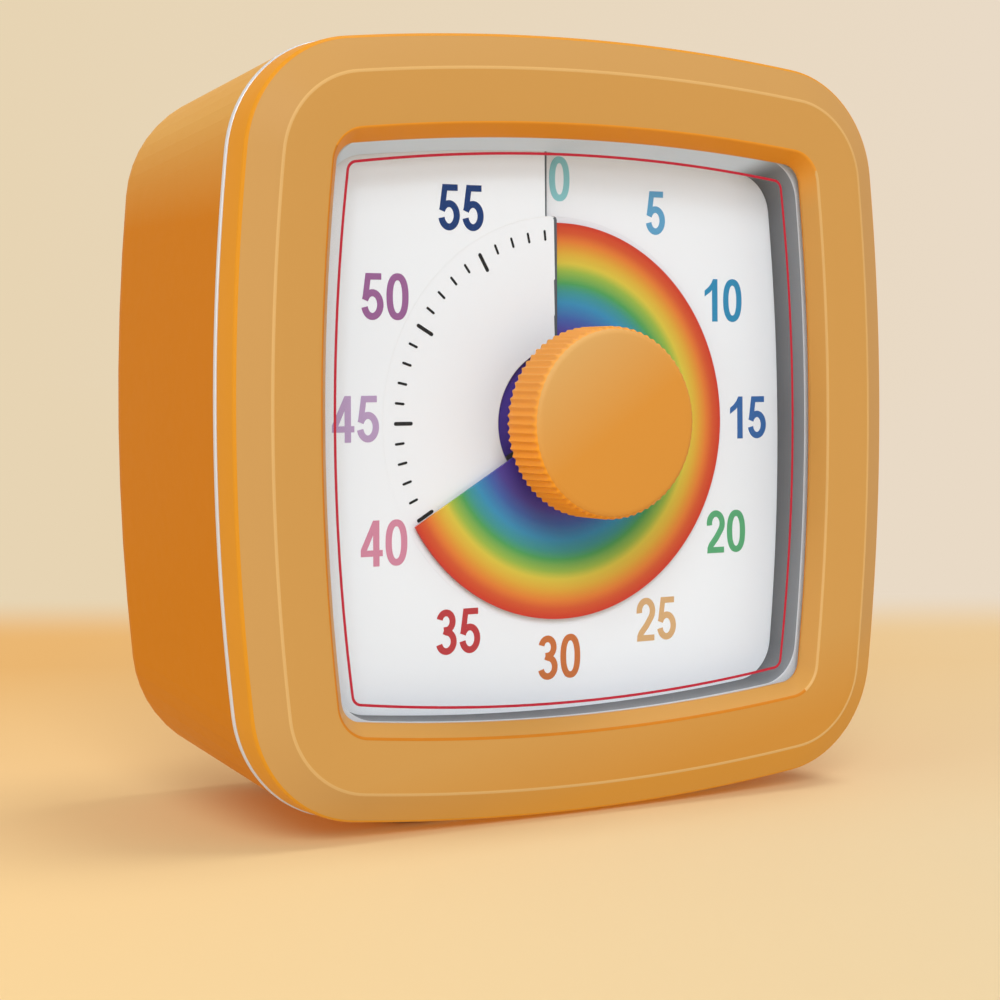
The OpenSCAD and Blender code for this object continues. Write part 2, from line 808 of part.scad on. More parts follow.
press_angle = 20;
backlash = 0.06;
dedendum = 1.25;
wheel_addendum = 0.6;
pinion_addendum = 0.9;

function pitch_r(teeth, mod) = teeth * mod / 2;
function involute(a) = tan(a) * 180 / PI - a;
// Half of a tooth's angle at a radius.
function tooth_half(teeth, mod, r) =
    let (
        base = pitch_r(teeth, mod) * cos(press_angle),
        a = acos(min(1, base / max(r, base)))
    )
    90 / teeth - backlash / (2 * pitch_r(teeth, mod)) * 180 / PI
        + involute(press_angle) - involute(a);

function gear_points(teeth, mod, addendum) =
    let (
        base = pitch_r(teeth, mod) * cos(press_angle),
        root = pitch_r(teeth, mod) - dedendum * mod,
        tip = pitch_r(teeth, mod) + addendum * mod,
        low = max(base, root),
        radii = [root, low, (low + tip) / 2, tip],
        halves = [for (r = radii) tooth_half(teeth, mod, max(r, low))]
    )
    [for (i = [0:teeth - 1])
        let (a = 360 * i / teeth)
        each concat(
            [for (k = [0:3]) radii[k] * [cos(a - halves[k]), sin(a - halves[k])]],
            [for (k = [3:-1:0]) radii[k] * [cos(a + halves[k]), sin(a + halves[k])]]
        )];

module gear(teeth, mod, addendum, u_low, u_high, spin) {
    rotate(spin) slab(u_low, u_high) polygon(gear_points(teeth, mod, addendum));
}

// Where each arbor stands, from the mesh distances and chosen directions.
third_way = 140;
second_way = 45;
rotor_way = -15;
function mesh(teeth, mod) = pitch_r(teeth, mod) + pitch_r(pinion_teeth, mod);
function toward(way, distance) = distance * [cos(way), sin(way)];
centre_at = [0, dial_rise];
third_at = centre_at + toward(third_way, mesh(centre_teeth, centre_module));
second_at = third_at + toward(second_way, mesh(third_teeth, third_module));
rotor_at = second_at + toward(rotor_way, mesh(second_teeth, second_module));
// Turn that puts a gap of a pinion where the wheel's tooth comes.
function gap_spin(way) = way + 180 + 180 / pinion_teeth;

module centre_wheel() {
    color("#F2F2F0") in_place() on_axis() difference() {
        union() {
            gear(centre_teeth, centre_module, wheel_addendum,
                centre_u - wheel_t, centre_u, third_way);
            rod(wheel_hub_r, collar_high + seat_gap / 2, wheel_hub_high);
        }
        rod(arbor_r + running_gap, collar_low, wheel_hub_high + cut);
    }
}

module pivots(at) {
    rod(shaft_r, plate_back_high + arbor_end / 2, plate_low - arbor_end / 2, at);
    rod(pivot_r, plate_back_high - pivot_l, plate_low + pivot_l, at);
}

module third_wheel() {
    color("#F2F2F0") in_place() union() {
        translate(third_at) gear(third_teeth, third_module, wheel_addendum,
            third_u - wheel_t, third_u, second_way);
        translate(third_at) gear(pinion_teeth, centre_module, pinion_addendum,
            third_u - pinion_under, centre_u + pinion_over, gap_spin(third_way));
        pivots(third_at);
    }
}

module second_wheel() {
    color("#E7E0C8") in_place() union() {
        translate(second_at) gear(second_teeth, second_module, wheel_addendum,
            second_u - wheel_t, second_u, rotor_way);
        translate(second_at) gear(pinion_teeth, third_module, pinion_addendum,
            second_u - pinion_under, third_u + pinion_over, gap_spin(second_way));
        pivots(second_at);
    }
}

magnet_r = 2.5;
magnet_h = 2;
air_gap = 0.5;

module rotor() {
    color("#5A5C60") in_place() union() {
        translate(rotor_at) gear(pinion_teeth, second_module, pinion_addendum,
            magnet_u - pinion_under, second_u + pinion_over, gap_spin(rotor_way));
        rod(magnet_r, magnet_u - magnet_h, magnet_u, rotor_at);
        pivots(rotor_at);
    }
}

// ---------- motor ----------

stator_high = magnet_u - 0.6;
stator_t = 0.8;
stator_low = stator_high - stator_t;
limb_x = movement_x + movement_w / 2 - 7.5;
limb_w = 3;
stator_y_low = movement_y - movement_h / 2 + movement_wall + 2;
coil_r = 2.1;
coil_low_y = stator_y_low + 5.4;
coil_high_y = rotor_at[1] - 3.6;
flange_t = 0.8;
flange_h = 0.5;         // how far the bobbin's flanges stand over its tube
bobbin_t = 0.3;
wire_h = 0.4;           // depth of the winding
arm_half = 2.5;

module stator() {
    boss_r = magnet_r + 3;
    layer = [stator_low, stator_high];
    color("#A9ABAE") in_place() difference() {
        union() {
            rod(boss_r, stator_low, stator_high, rotor_at);
            box([rotor_at[0], limb_x + arm_half], span(rotor_at[1], arm_half), layer);
            box(span(rotor_at[0], arm_half), [stator_y_low, rotor_at[1]], layer);
            box([rotor_at[0] - arm_half, limb_x + arm_half],
                [stator_y_low, stator_y_low + 2 * arm_half], layer);
        }
        rod(magnet_r + air_gap, stator_low - cut, stator_high + cut, rotor_at);
    }
}

module coil_core() {
    color("#A9ABAE") in_place()
        box(span(limb_x, limb_w / 2), [stator_y_low + 0.5, rotor_at[1] + arm_half - 0.5],
            [stator_high, stator_high + stator_t]);
}

coil_u = stator_high + stator_t / 2;

// Tube along y around the coil's core, between two heights on the dial.
module coil_ring(r, y_low, y_high) {
    difference() {
        upright(r, y_low, y_high, limb_x, coil_u);
        box(span(limb_x, limb_w / 2 + 0.05), [y_low - 1, y_high + 1],
            span(coil_u, stator_t / 2 + 0.05));
    }
}

module coil_bobbin() {
    color("#2E4A7A") in_place() union() {
        coil_ring(coil_r - bobbin_t, coil_low_y, coil_high_y);
        coil_ring(coil_r - bobbin_t + flange_h, coil_low_y, coil_low_y + flange_t);
        coil_ring(coil_r - bobbin_t + flange_h, coil_high_y - flange_t, coil_high_y);
    }
}

module coil_winding() {
    color("#B5651D") in_place() difference() {
        upright(coil_r - bobbin_t + wire_h, coil_low_y + flange_t, coil_high_y - flange_t,
            limb_x, coil_u);
        upright(coil_r - bobbin_t, coil_low_y - cut, coil_high_y + cut, limb_x, coil_u);
    }
}

terminal_r = 0.4;
terminal_y = [8, 5];
terminal_reach = 3.6;
terminal_x = limb_x + terminal_reach;
terminal_end = plate_back_high - movement_wall - 1.2;

module coil_terminals() {
    color("#C9A24A") in_place() for (y = terminal_y) {
        rod(terminal_r, terminal_end, coil_u, [terminal_x, y]);
        box([limb_x + coil_r - bobbin_t + flange_h, terminal_x], span(y, 0.25), [coil_u - sink, coil_u]);
    }
}

leaf_t = 0.3;
leaf_l = 18;
leaf_nose = 1.5;
leaf_post_r = 1.2;
leaf_y = dial_rise - cam_r - 0.15 - leaf_t;

module alarm_leaf() {
    color("#C9A24A") in_place() union() {
        box([-leaf_l, leaf_nose], [leaf_y, leaf_y + leaf_t], [cam_low + 0.1, cam_high - 0.1]);
        rod(leaf_post_r, plate_back_high, cam_high + 0.2, [-leaf_l, leaf_y]);
    }
}

// ---------- movement housing ----------

movement_corner = 3;

module rounded(w, h, r) {
    x = w / 2 - r;
    y = h / 2 - r;
    translate([movement_x, movement_y]) union() {
        square([w - 2 * r, h], center = true);
        square([w, h - 2 * r], center = true);
        for (sx = [-1, 1], sy = [-1, 1]) translate([sx * x, sy * y]) circle(r);
    }
}

trains = [third_at, second_at, rotor_at];
bush_r = 3.6;
bush_high = hub_low - 0.2;

module movement_front() {
    color("#3C3F44") in_place() difference() {
        union() {
            slab(plate_low, plate_high) rounded(movement_w, movement_h, movement_corner);
            rod(bush_r, plate_low, bush_high, centre_at);
        }
        rod(arbor_r + running_gap, plate_low - cut, bush_high + cut, centre_at);
        for (p = trains)
            rod(pivot_r + running_gap, plate_low - cut, plate_low + pivot_l + seat_gap, p);
    }
}

module movement_back() {
    low = plate_back_high - movement_wall;
    inner_w = movement_w - 2 * movement_wall;
    inner_h = movement_h - 2 * movement_wall;
    color("#3C3F44") in_place() difference() {
        union() {
            slab(low, plate_low) rounded(movement_w, movement_h, movement_corner);
            for (p = ear_posts) {
                rod(ear_r, ear_u - seat_gap - movement_wall, ear_u - seat_gap, p);
                box([min(p[0], movement_x), max(p[0], movement_x)], span(p[1], ear_r),
                    [ear_u - seat_gap - movement_wall, ear_u - seat_gap]);
            }
        }
        slab(plate_back_high, plate_low + cut)
            rounded(inner_w, inner_h, movement_corner - movement_wall);
        rod(arbor_pivot_r + running_gap, low - cut, plate_back_high + cut, centre_at);
        for (p = trains)
            rod(pivot_r + running_gap, plate_back_high - pivot_l - seat_gap, plate_back_high + cut, p);
        for (y = terminal_y)
            rod(terminal_r + screw_play, low - cut, plate_back_high + cut, [terminal_x, y]);
        for (p = ear_posts) rod(small_screw_r + screw_pass, low - cut, ear_u + cut, p);
    }
}

module movement_screws() {
    color("#9A9C9E") in_place() for (p = ear_posts)
        small_screw(p, ear_u - seat_gap - movement_wall, ear_l + movement_wall - 2 * thread_end);
}

// ---------- electronics ----------

module circuit_board() {
    color("#2F6B3A") in_place() difference() {
        box(span(board_x, board_w / 2), span(board_y, board_h / 2), [board_low_u, board_top_u]);
        for (p = board_posts)
            rod(small_screw_r + screw_pass, board_low_u - cut, board_top_u + cut, p);
    }
}

module board_screws() {
    color("#9A9C9E") in_place() for (p = board_posts) {
        rod(small_head_r, board_top_u, board_top_u + small_head_h, p);
        rod(small_screw_r, wall_u + thread_end, board_top_u + small_head_h / 2, p);
    }
}

chip_at = [board_x - 4, board_y + 4];

module driver_chip() {
    color("#1E1F21") in_place() translate([chip_at[0], chip_at[1], board_top_u])
        rotate_extrude() polygon([[0, 0], [3.4, 0], [3.3, 0.4], [2.7, 0.9], [1.6, 1.25], [0, 1.35]]);
}

module quartz_crystal() {
    color("#C6C8CA") in_place()
        upright(1, chip_at[1] - 3, chip_at[1] + 3, chip_at[0] + 7, board_top_u + 1);
}

module capacitor() {
    color("#20242C") in_place() rod(2, board_top_u, board_top_u + 5, chip_at + [9.5, 9]);
}

switch_can_high = board_low_u;
switch_can_low = wall_u + 0.2;

can_half_w = 6;
can_half_h = 2.6;
can_wall = 0.5;
head_half_h = 1.65;

module switch_body() {
    color("#B9BBBD") in_place() difference() {
        box(span(switch_at[0], can_half_w), span(switch_at[1], can_half_h),
            [switch_can_low, switch_can_high]);
        box(span(switch_at[0], slot_half_w + 0.6), span(switch_at[1], head_half_h + 0.3),
            [switch_can_low + can_wall, switch_can_high - can_wall]);
        box(span(switch_at[0], slot_half_w), span(switch_at[1], slot_half_h),
            [switch_can_low - 1, switch_can_low + can_wall + 0.1]);
    }
}

module switch_slider() {
    grip_step = 0.9;
    grip_half = 0.22;
    color("#2A2A2C") in_place() difference() {
        union() {
            box(span(switch_at[0], slider_w / 2), span(switch_at[1], slider_h / 2),
                [back_u + 0.25, switch_can_low + 1.2]);
            box(span(switch_at[0], slider_w / 2), span(switch_at[1], head_half_h),
                [switch_can_low + 0.8, switch_can_low + 2.2]);
        }
        for (i = [-1, 0, 1])
            box(span(switch_at[0] + i * grip_step, grip_half), span(switch_at[1], slider_h),
                [back_u - 1, back_u + 0.6]);
    }
}

module speaker() {
    color("#4A4C50") in_place() translate([speaker_at[0], speaker_at[1], speaker_low_u])
        rotate_extrude() polygon([
            [0, 0.9], [speaker_r - 4, 0.5], [speaker_r - 1.4, 0.9], [speaker_r - 1, 0],
            [speaker_r, 0], [speaker_r, 1.8], [speaker_r - 2.5, 2.4],
            [speaker_r - 4, speaker_t], [0, speaker_t]
        ]);
}

// ---------- battery ----------

module battery() {
    cap_r = 2.7;
    cap_l = 1.2;
    color("#3E6FA8") in_place() translate([-cell_l / 2, bay_y, cell_u]) rotate([0, 90, 0]) union() {
        cylinder(r = cell_r, h = cell_l - cap_l);
        cylinder(r = cap_r, h = cell_l);
    }
}

plate_t = 0.5;
plate_half = 5;
tab_half_w = 1.5;
tab_slot = 1;
tab_play = 0.3;
tab_rise = 1.55;
tab_y = bay_y + bay_half_h + bay_wall + tab_rise;
spring_turns = 3;
spring_wire_r = 0.35;
spring_wide_r = 4.2;
spring_tip_r = 2.4;
turn_steps = 14;

// Contact plate with a solder tab, against an end of the bay.
module contact(side) {
    x = side * (bay_half_l - plate_t / 2);
    box(span(x, plate_t / 2 - 0.02), span(bay_y, plate_half), span(cell_u, plate_half));
    box(span(x, plate_t / 2 - 0.02), [bay_y, tab_y], span(cell_u, tab_half_w));
}

module battery_spring() {
    start_x = -bay_half_l + plate_t + 0.2;
    tip_x = -cell_l / 2 - seat_gap - spring_wire_r;
    steps = spring_turns * turn_steps;
    color("#C6C8CA") in_place() union() {
        contact(-1);
        tube([for (i = [0:steps])
            let (
                t = i / steps, a = -360 * i / turn_steps,
                r = spring_wide_r + (spring_tip_r - spring_wide_r) * t
            )
            [start_x + (tip_x - start_x) * t, bay_y + r * cos(a), cell_u + r * sin(a)]],
            spring_wire_r, [1, 0, 0]);
    }
}

module battery_plate() {
    color("#C6C8CA") in_place() union() {
        contact(1);
        translate([cell_l / 2 + seat_gap, bay_y, cell_u]) rotate([0, 90, 0])
            cylinder(r1 = 2, r2 = 3, h = bay_half_l - plate_t / 2 - cell_l / 2 - seat_gap);
    }
}

latch_x = 7.5;
latch_cut = 0.4;
latch_l = 7;
grip_r = 5;

module battery_door() {
    color("#CB7B20") in_place() difference() {
        union() {
            box(span(0, door_half_l), [hinge_y, bay_y + door_half_h], [door_low_u, door_high_u]);
            across(hinge_r, door_half_l);
            across(pin_r, door_half_l + door_gap + pin_l);
            box(span(0, 4), span(bay_y, 2), [door_high_u - sink, door_high_u + door_rib]);
        }
        rod(grip_r, back_u - 1, back_u + door_t / 2, [0, bay_y + door_half_h + grip_r / 3]);
        for (side = [-1, 1])
            box(span(side * latch_x, latch_cut),
                [bay_y + door_half_h - latch_l, bay_y + door_half_h + 1],
                [back_u - 1, door_high_u + 1]);
    }
}

// ---------- wiring ----------

lead_r = 0.45;
red_route = [
    [28, -9.2, -24.8], [28, -7.6, -24.8], [27.6, -6.2, -24.2], [26.6, -5.2, -23.6],
    [25.2, -4.6, -23.8], [24.2, -4.4, -24.6], [24, -4.4, -25.6], [24, -4.4, -27]
];
black_route = [
    [-28, -9.2, -24.8], [-28, -7.6, -24.8], [-27, -5.8, -24], [-24.8, -4.8, -23.3],
    [-22, -4.2, -22.8], [-19, -3.8, -22.6], [-16, -3.6, -22.6], [-13, -3.6, -22.6],
    [-10, -3.6, -22.6], [-7, -3.7, -22.7], [-4, -3.8, -22.9], [-1, -4, -23.2],
    [1.6, -4.1, -23.6], [3.8, -4.3, -24.4], [5, -4.4, -25.6], [5, -4.4, -27]
];
motor_routes = [for (y = terminal_y) [
    [terminal_x, y, terminal_end], [terminal_x, y, terminal_end - 1.5],
    [terminal_x + 0.3, y + 0.3, -20.4], [terminal_x + 0.5, y + 0.8, -22],
    [23.9, y + 1.3, -24], [23.6, y + 1.5, -25.6], [23.6, y + 1.5, -27]
]];
speaker_routes = [for (y = [15, 11]) [
    [-13, y, -28.3], [-13, y, -26.8], [-12.4, y + 0.2, -25.4], [-11, y + 0.4, -24.4],
    [-9, y + 0.6, -24], [-6.6, y + 0.8, -23.9], [-4.2, y + 0.9, -24], [-2, y + 1, -24.3],
    [0, y + 1, -24.9], [1, y + 1, -25.8], [1, y + 1, -27]
]];

module battery_lead_red() {
    color("#B3261E") in_place() tube(red_route, lead_r, [1, 1, 1]);
}

module battery_lead_black() {
    color("#26282A") in_place() tube(black_route, lead_r, [-1, 1, 1]);
}

module motor_leads() {
    color("#D8A13A") in_place() for (route = motor_routes) tube(route, lead_r, [1, 0, 0]);
}

module speaker_leads() {
    color("#6E7073") in_place() for (route = speaker_routes) tube(route, lead_r, [0, 1, 0]);
}

front_bezel();
trim_ring();
rear_case();
lens();
inner_frame();
dial_tray();
dial_card();
time_disc();
disc_hub();
knob();
arbor();
retaining_clip();
clutch_spring();
centre_wheel();
alarm_cam();
alarm_leaf();
third_wheel();
second_wheel();
rotor();
stator();
coil_core();
coil_bobbin();
coil_winding();
coil_terminals();
movement_front();
movement_back();
movement_screws();
tray_screws();
case_screws();
circuit_board();
board_screws();
driver_chip();
quartz_crystal();
capacitor();
switch_body();
switch_slider();
speaker();
battery();
battery_spring();
battery_plate();
battery_door();
battery_lead_red();
battery_lead_black();
motor_leads();
speaker_leads();
rubber_feet();
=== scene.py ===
import json
import math

import bmesh
import bpy
from mathutils import Matrix, Vector


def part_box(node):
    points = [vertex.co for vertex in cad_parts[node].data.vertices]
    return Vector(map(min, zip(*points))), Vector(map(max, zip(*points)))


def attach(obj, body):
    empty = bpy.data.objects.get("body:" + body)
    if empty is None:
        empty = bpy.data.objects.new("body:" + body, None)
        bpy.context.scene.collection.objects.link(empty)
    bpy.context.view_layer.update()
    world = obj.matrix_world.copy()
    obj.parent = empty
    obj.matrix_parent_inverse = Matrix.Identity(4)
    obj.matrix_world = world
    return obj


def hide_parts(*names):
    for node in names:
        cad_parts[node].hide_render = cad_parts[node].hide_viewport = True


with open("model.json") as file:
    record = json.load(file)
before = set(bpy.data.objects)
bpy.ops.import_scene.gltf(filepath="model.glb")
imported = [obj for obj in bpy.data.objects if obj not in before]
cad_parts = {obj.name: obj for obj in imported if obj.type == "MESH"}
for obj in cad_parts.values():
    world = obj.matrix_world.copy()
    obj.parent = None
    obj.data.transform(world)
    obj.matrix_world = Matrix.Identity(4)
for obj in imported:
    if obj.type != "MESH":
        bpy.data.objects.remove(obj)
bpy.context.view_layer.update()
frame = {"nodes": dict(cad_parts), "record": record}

# ---------- places ----------
# Shapes are written in millimetres in the dial's frame: x right, y up from
# the middle of the case, u towards the viewer from the plane of the dial.

MM = 0.001
KNOB_U = 11.6           # front face of the knob
FACE_U = 6.75           # front face of the bezel
TRIM_LOW = -0.06        # rear edge of the silver trim
BEAD_HIGH = 0.72        # front edge of what shows of it
PITCH = 1.6             # advance of the disc and the card in one turn
CARD_U = -1.3           # middle of the card's thickness beside the slit
CARD_T = 0.5
CARD_HOLE_R = 8.4
DISC_R = 22.4
DISC_T = 0.3
SLIT_X = 0.8            # the slit's distance from the axis, to the left
SLIT_STEP = 1.35        # its further step aside outside the disc
MINUTES_LEFT = 40       # shown by the disc at rest

bezel_low, bezel_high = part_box("front_bezel")
knob_low, knob_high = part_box("knob")
HALF = (bezel_high.x - bezel_low.x) / 2 / MM
CASE_Z = (bezel_high.z + bezel_low.z) / 2
DIAL_Y = knob_low.y + KNOB_U * MM
RISE = ((knob_high.z + knob_low.z) / 2 - CASE_Z) / MM
BULGE = 265             # radius of the case's four sides
CORNER = 13.4           # radius of its corners
MIN_CORNER = 1.2        # and the least that an inner outline keeps


def at(x, y, u):
    """A place in the dial's frame, in metres."""
    return Vector((x * MM, DIAL_Y - u * MM, CASE_Z + y * MM))


# ---------- colours and materials ----------

GRAIN = 2600            # scale of moulded plastic's grain
FINE_GRAIN = 4000       # and of card and ink
GRAIN_DEPTH = 0.00001
GRAIN_BUMP = 0.35       # how strongly it shows
FAINT_BUMP = 0.2
GLOSS_GRAIN = 4         # times coarser than the grain
CLOUD = (45, 3)         # scale and detail of the unevenness of colour
CLOUD_LOW = 0.3         # share of the noise where its ramp starts
CLOUD_HIGH = 0.7        # and where it ends
GLOSS_SPREAD = 0.04     # how far roughness strays to each side
DULL = 0.1              # specular level of faces that should not shine
WHITE = (1.0, 1.0, 1.0)


def srgb(red, green, blue):
    """A colour written as 0 to 255, in linear light."""
    return tuple(
        c / 12.92 if c <= 0.04045 else ((c + 0.055) / 1.055) ** 2.4
        for c in (red / 255, green / 255, blue / 255)
    )


def scaled(colour, factor):
    """A colour made darker or lighter, up to full."""
    return tuple(min(c * factor, 1.0) for c in colour)


def feed(tree, value, target):
    """Gives an input a value, or a link where the value is a socket."""
    if isinstance(value, bpy.types.NodeSocket):
        tree.links.new(value, target)
    else:
        target.default_value = value


def add_node(tree, kind, **values):
    """A new node; its inputs, with _ for a space, or its settings are given by name."""
    node = tree.nodes.new(kind)
    for key, value in values.items():
        socket = key.replace("_", " ")
        if socket in node.inputs:
            feed(tree, value, node.inputs[socket])
        else:
            setattr(node, key, value)
    return node


class Nodes:
    """A material's nodes, added one after another."""

    def __init__(self, name):
        self.material = bpy.data.materials.new(name)
        self.material.use_nodes = True
        self.tree = self.material.node_tree
        self.shader = self.tree.nodes["Principled BSDF"]
        self.output = self.tree.nodes["Material Output"]

    def add(self, kind, **values):
        """A new node in this material."""
        return add_node(self.tree, kind, **values)

    def place(self):
        """Where a point lies, in metres in the frame."""
        return self.add("ShaderNodeTexCoord").outputs["Object"]

    def noise(self, scale, detail=2.0):
        """Smooth noise over the places in the frame."""
        node = self.add("ShaderNodeTexNoise", Scale=scale, Detail=detail, Vector=self.place())
        return node.outputs["Fac"]

    def ramp(self, value, stops):
        """A colour from a value, by (position, colour) stops."""
        node = self.add("ShaderNodeValToRGB", Fac=value)
        ramp = node.color_ramp
        while len(ramp.elements) < len(stops):
            ramp.elements.new(0.5)
        for element, (position, colour) in zip(ramp.elements, stops):
            element.position = position
            element.color = (*colour, 1.0)
        return node.outputs["Color"]

    def clouded(self, dark, light, cloud=CLOUD):
        """A colour that strays slowly between two."""
        return self.ramp(self.noise(*cloud), [(CLOUD_LOW, dark), (CLOUD_HIGH, light)])

    def mixed(self, share, first, last, kind="MIX"):
        """Two colours mixed by a share; each of the three is a value or a socket."""
        node = self.add("ShaderNodeMix", data_type="RGBA", blend_type=kind)
        for value, index in ((share, 0), (first, 6), (last, 7)):
            feed(self.tree, value, node.inputs[index])
        return node.outputs[2]

    def shade(self, **sockets):
        """Feeds the shader's own inputs, named with _ for each space."""
        for socket, value in sockets.items():
            feed(self.tree, value, self.shader.inputs[socket.replace("_", " ")])

    def level(self, value, low, high):
        """A value from 0 to 1, spread between two levels."""
        node = self.add("ShaderNodeMapRange", To_Min=low, To_Max=high, Value=value)
        return node.outputs["Result"]

    def bump(self, height, strength, depth):
        """Makes the surface uneven by a height."""
        node = self.add("ShaderNodeBump", Strength=strength, Distance=depth, Height=height)
        self.shade(Normal=node.outputs["Normal"])


def computed(tree, operation, *values, kind="ShaderNodeMath"):
    """The result of a calculation with values or sockets."""
    node = add_node(tree, kind, operation=operation)
    for value, target in zip(values, node.inputs):
        feed(tree, value, target)
    return node.outputs["Value"]


def dot(tree, vector, axis):
    """How far a vector reaches along an axis."""
    return computed(tree, "DOT_PRODUCT", vector, axis, kind="ShaderNodeVectorMath")


def share_of(tree, value, start, end, smooth=False):
    """How far a value has come from start to end, from 0 to 1."""
    node = add_node(tree, "ShaderNodeMapRange", From_Min=start, From_Max=end, Value=value)
    node.interpolation_type = "SMOOTHSTEP" if smooth else "LINEAR"
    return node.outputs["Result"]


def blend_ramp(tree, value, stops):
    """A colour that runs from one stop to the other."""
    (low, first), (high, last) = stops
    ramp = add_node(tree, "ShaderNodeValToRGB", Fac=share_of(tree, value, low, high))
    ramp.color_ramp.elements[0].color = (*first, 1.0)
    ramp.color_ramp.elements[1].color = (*last, 1.0)
    return ramp.outputs["Color"]


def swept(m, axis, stops):
    """A colour that runs along an axis, with its stops in metres."""
    return blend_ramp(m.tree, dot(m.tree, m.place(), axis), stops)


def tinted(m, colour, shade):
    """Sets the base colour to a colour times a shade, both from sockets."""
    m.shade(Base_Color=m.mixed(1.0, colour, shade, "MULTIPLY"))


def plastic(
    name, colour, rough, grain=GRAIN, grain_depth=GRAIN_DEPTH, uneven=0.03, painted_light_sweep=None, **sockets
):
    """Moulded plastic: a fine grain, and a faint unevenness of colour and gloss.

    A painted_light_sweep is an axis and two stops, between which the colour runs instead: painted
    light and shade, deeper where less light falls and paler where more does.
    """
    m = Nodes(name)
    if painted_light_sweep:
        tinted(m, swept(m, *painted_light_sweep), m.clouded(scaled(WHITE, 1 - uneven), WHITE))
    else:
        m.shade(Base_Color=m.clouded(scaled(colour, 1 - uneven), scaled(colour, 1 + uneven)))
    gloss = m.level(m.noise(grain / GLOSS_GRAIN), rough - GLOSS_SPREAD, rough + GLOSS_SPREAD)
    m.shade(Roughness=gloss, **sockets)
    m.bump(m.noise(grain), GRAIN_BUMP, grain_depth)
    return m.material


CORNER_LEAN = 0.0025    # moves both corners' change this far to the left, in metres
CORNER_DARKEST = 0.985  # the unevenness of what changes there


def corner_share(m, start, end):
    """Runs from 0 to 1 as a place goes round an upper corner, from side to top.

    Its start and end are heights above the diagonal through the case's middle.
    """
    part = m.add("ShaderNodeSeparateXYZ", Vector=m.place())
    aside = computed(m.tree, "ABSOLUTE", computed(m.tree, "ADD", part.outputs["X"], CORNER_LEAN))
    over = computed(m.tree, "SUBTRACT", part.outputs["Z"], aside)
    return share_of(m.tree, over, CASE_Z + start, CASE_Z + end, smooth=True)


def cornered(name, side_colour, top_colour, rough, start, end, side_sweep=None):
    """Plastic whose colour changes round the upper corners of the case, to paint one light or shade
    on its top and another on its sides.

    A side_sweep, as in plastic, takes the place of the side's one colour.
    """
    m = Nodes(name)
    side = swept(m, *side_sweep) if side_sweep else (*side_colour, 1)
    colour = m.mixed(corner_share(m, start, end), side, (*top_colour, 1))
    tinted(m, colour, m.clouded(scaled(WHITE, CORNER_DARKEST), WHITE))
    m.shade(Roughness=rough, Specular_IOR_Level=DULL)
    m.bump(m.noise(GRAIN), FAINT_BUMP, GRAIN_DEPTH)
    return m.material


def ink(name, colour, uneven=0.03):
    """Print on the card or the window: dull, and finely grained."""
    return plastic(name, colour, 0.5, grain=FINE_GRAIN, uneven=uneven, Specular_IOR_Level=DULL)


METAL_LINES = 40        # scale of the lines, for a stretch of 1
METAL_WANDER = 6        # and how far they stray
METAL_CLOUD = (300,)
METAL_SHADES = (0.92, 1.05)
METAL_GLOSS = (0.05, 0.08)      # how far roughness strays down and up
METAL_DEPTH = 0.000004


def metal(name, colour, rough, stretch=60):
    """Drawn or turned metal, with fine lines."""
    m = Nodes(name)
    lines = m.add(
        "ShaderNodeTexWave", wave_type="BANDS", bands_direction="Z", Vector=m.place(),
        Scale=stretch * METAL_LINES, Distortion=METAL_WANDER,
    )
    dark, light = (scaled(colour, shade) for shade in METAL_SHADES)
    gloss = m.level(lines.outputs["Fac"], rough - METAL_GLOSS[0], rough + METAL_GLOSS[1])
    m.shade(Base_Color=m.clouded(dark, light, METAL_CLOUD), Roughness=gloss, Metallic=1.0)
    m.bump(lines.outputs["Fac"], FAINT_BUMP, METAL_DEPTH)
    return m.material


# Each colour's place is in its name; LOW, SIDE and TOP say which part of it.
BEZEL_ORANGE = srgb(204, 148, 75)
# Painted shade: the bezel runs to this deeper orange at its very bottom.
BEZEL_SHADED_LOW = srgb(202, 136, 53)
# Painted shade: a deeper, fuller copy of the orange for the bezel's outer side all round.
BEZEL_SHADED_SIDE = srgb(217, 140, 30)
# The slope: darker copies of the orange that even out the stronger light on it, with painted shade
# at its bottom.
SLOPE_SHADED_SIDE = srgb(199, 147, 81)
SLOPE_SHADED_TOP = srgb(196, 145, 80)
SLOPE_SHADED_LOW = srgb(213, 146, 54)
# Painted shade on the top of the opening's bevel, which faces down.
BEVEL_SHADED_TOP = srgb(230, 145, 40)
# A painted highlight and a painted shade, as thin lines along the bezel's creases.
CREASE_HIGHLIGHT = srgb(214, 166, 100)
CREASE_SHADE = srgb(203, 122, 32)
# Painted light: the rear shell runs from this orange to a paler one at its top.
REAR_ORANGE = srgb(204, 118, 2)
REAR_LIT_TOP = srgb(213, 155, 74)
# Painted sheen: the knob runs to a paler orange towards its upper left.
KNOB_ORANGE = srgb(216, 142, 53)
KNOB_SHEEN_TOP = srgb(214, 162, 94)
# Painted light: a brighter copy of the knob's orange for its ribbed side, against its shade.
KNOB_SIDE_LIT = srgb(242, 151, 40)
# Painted shade on the frame's wall, darker deep down, with painted light on its top.
WALL_SHADED_DEEP = srgb(88, 89, 91)
WALL_LESS_SHADED = srgb(132, 134, 137)
WALL_LIT_TOP = srgb(222, 238, 252)
CARD_WHITE = srgb(238, 240, 243)

# Where the painted light and shade run on, as an axis and the metres along it of the two stops.
BEZEL_SWEEP = (-0.2, 0, 1)
BEZEL_RUN = (0.002, 0.012)
KNOB_SWEEP = (-0.55, 0, 0.83)
REAR_RUN = (0.066, 0.077)
FACE_RUN = (0.036, 0.047)
GRIP_RUN = (0.040, 0.054)


def sweep_of(axis, run, first, last):
    """An axis and its two stops, for plastic and cornered."""
    return axis, list(zip(run, (first, last)))


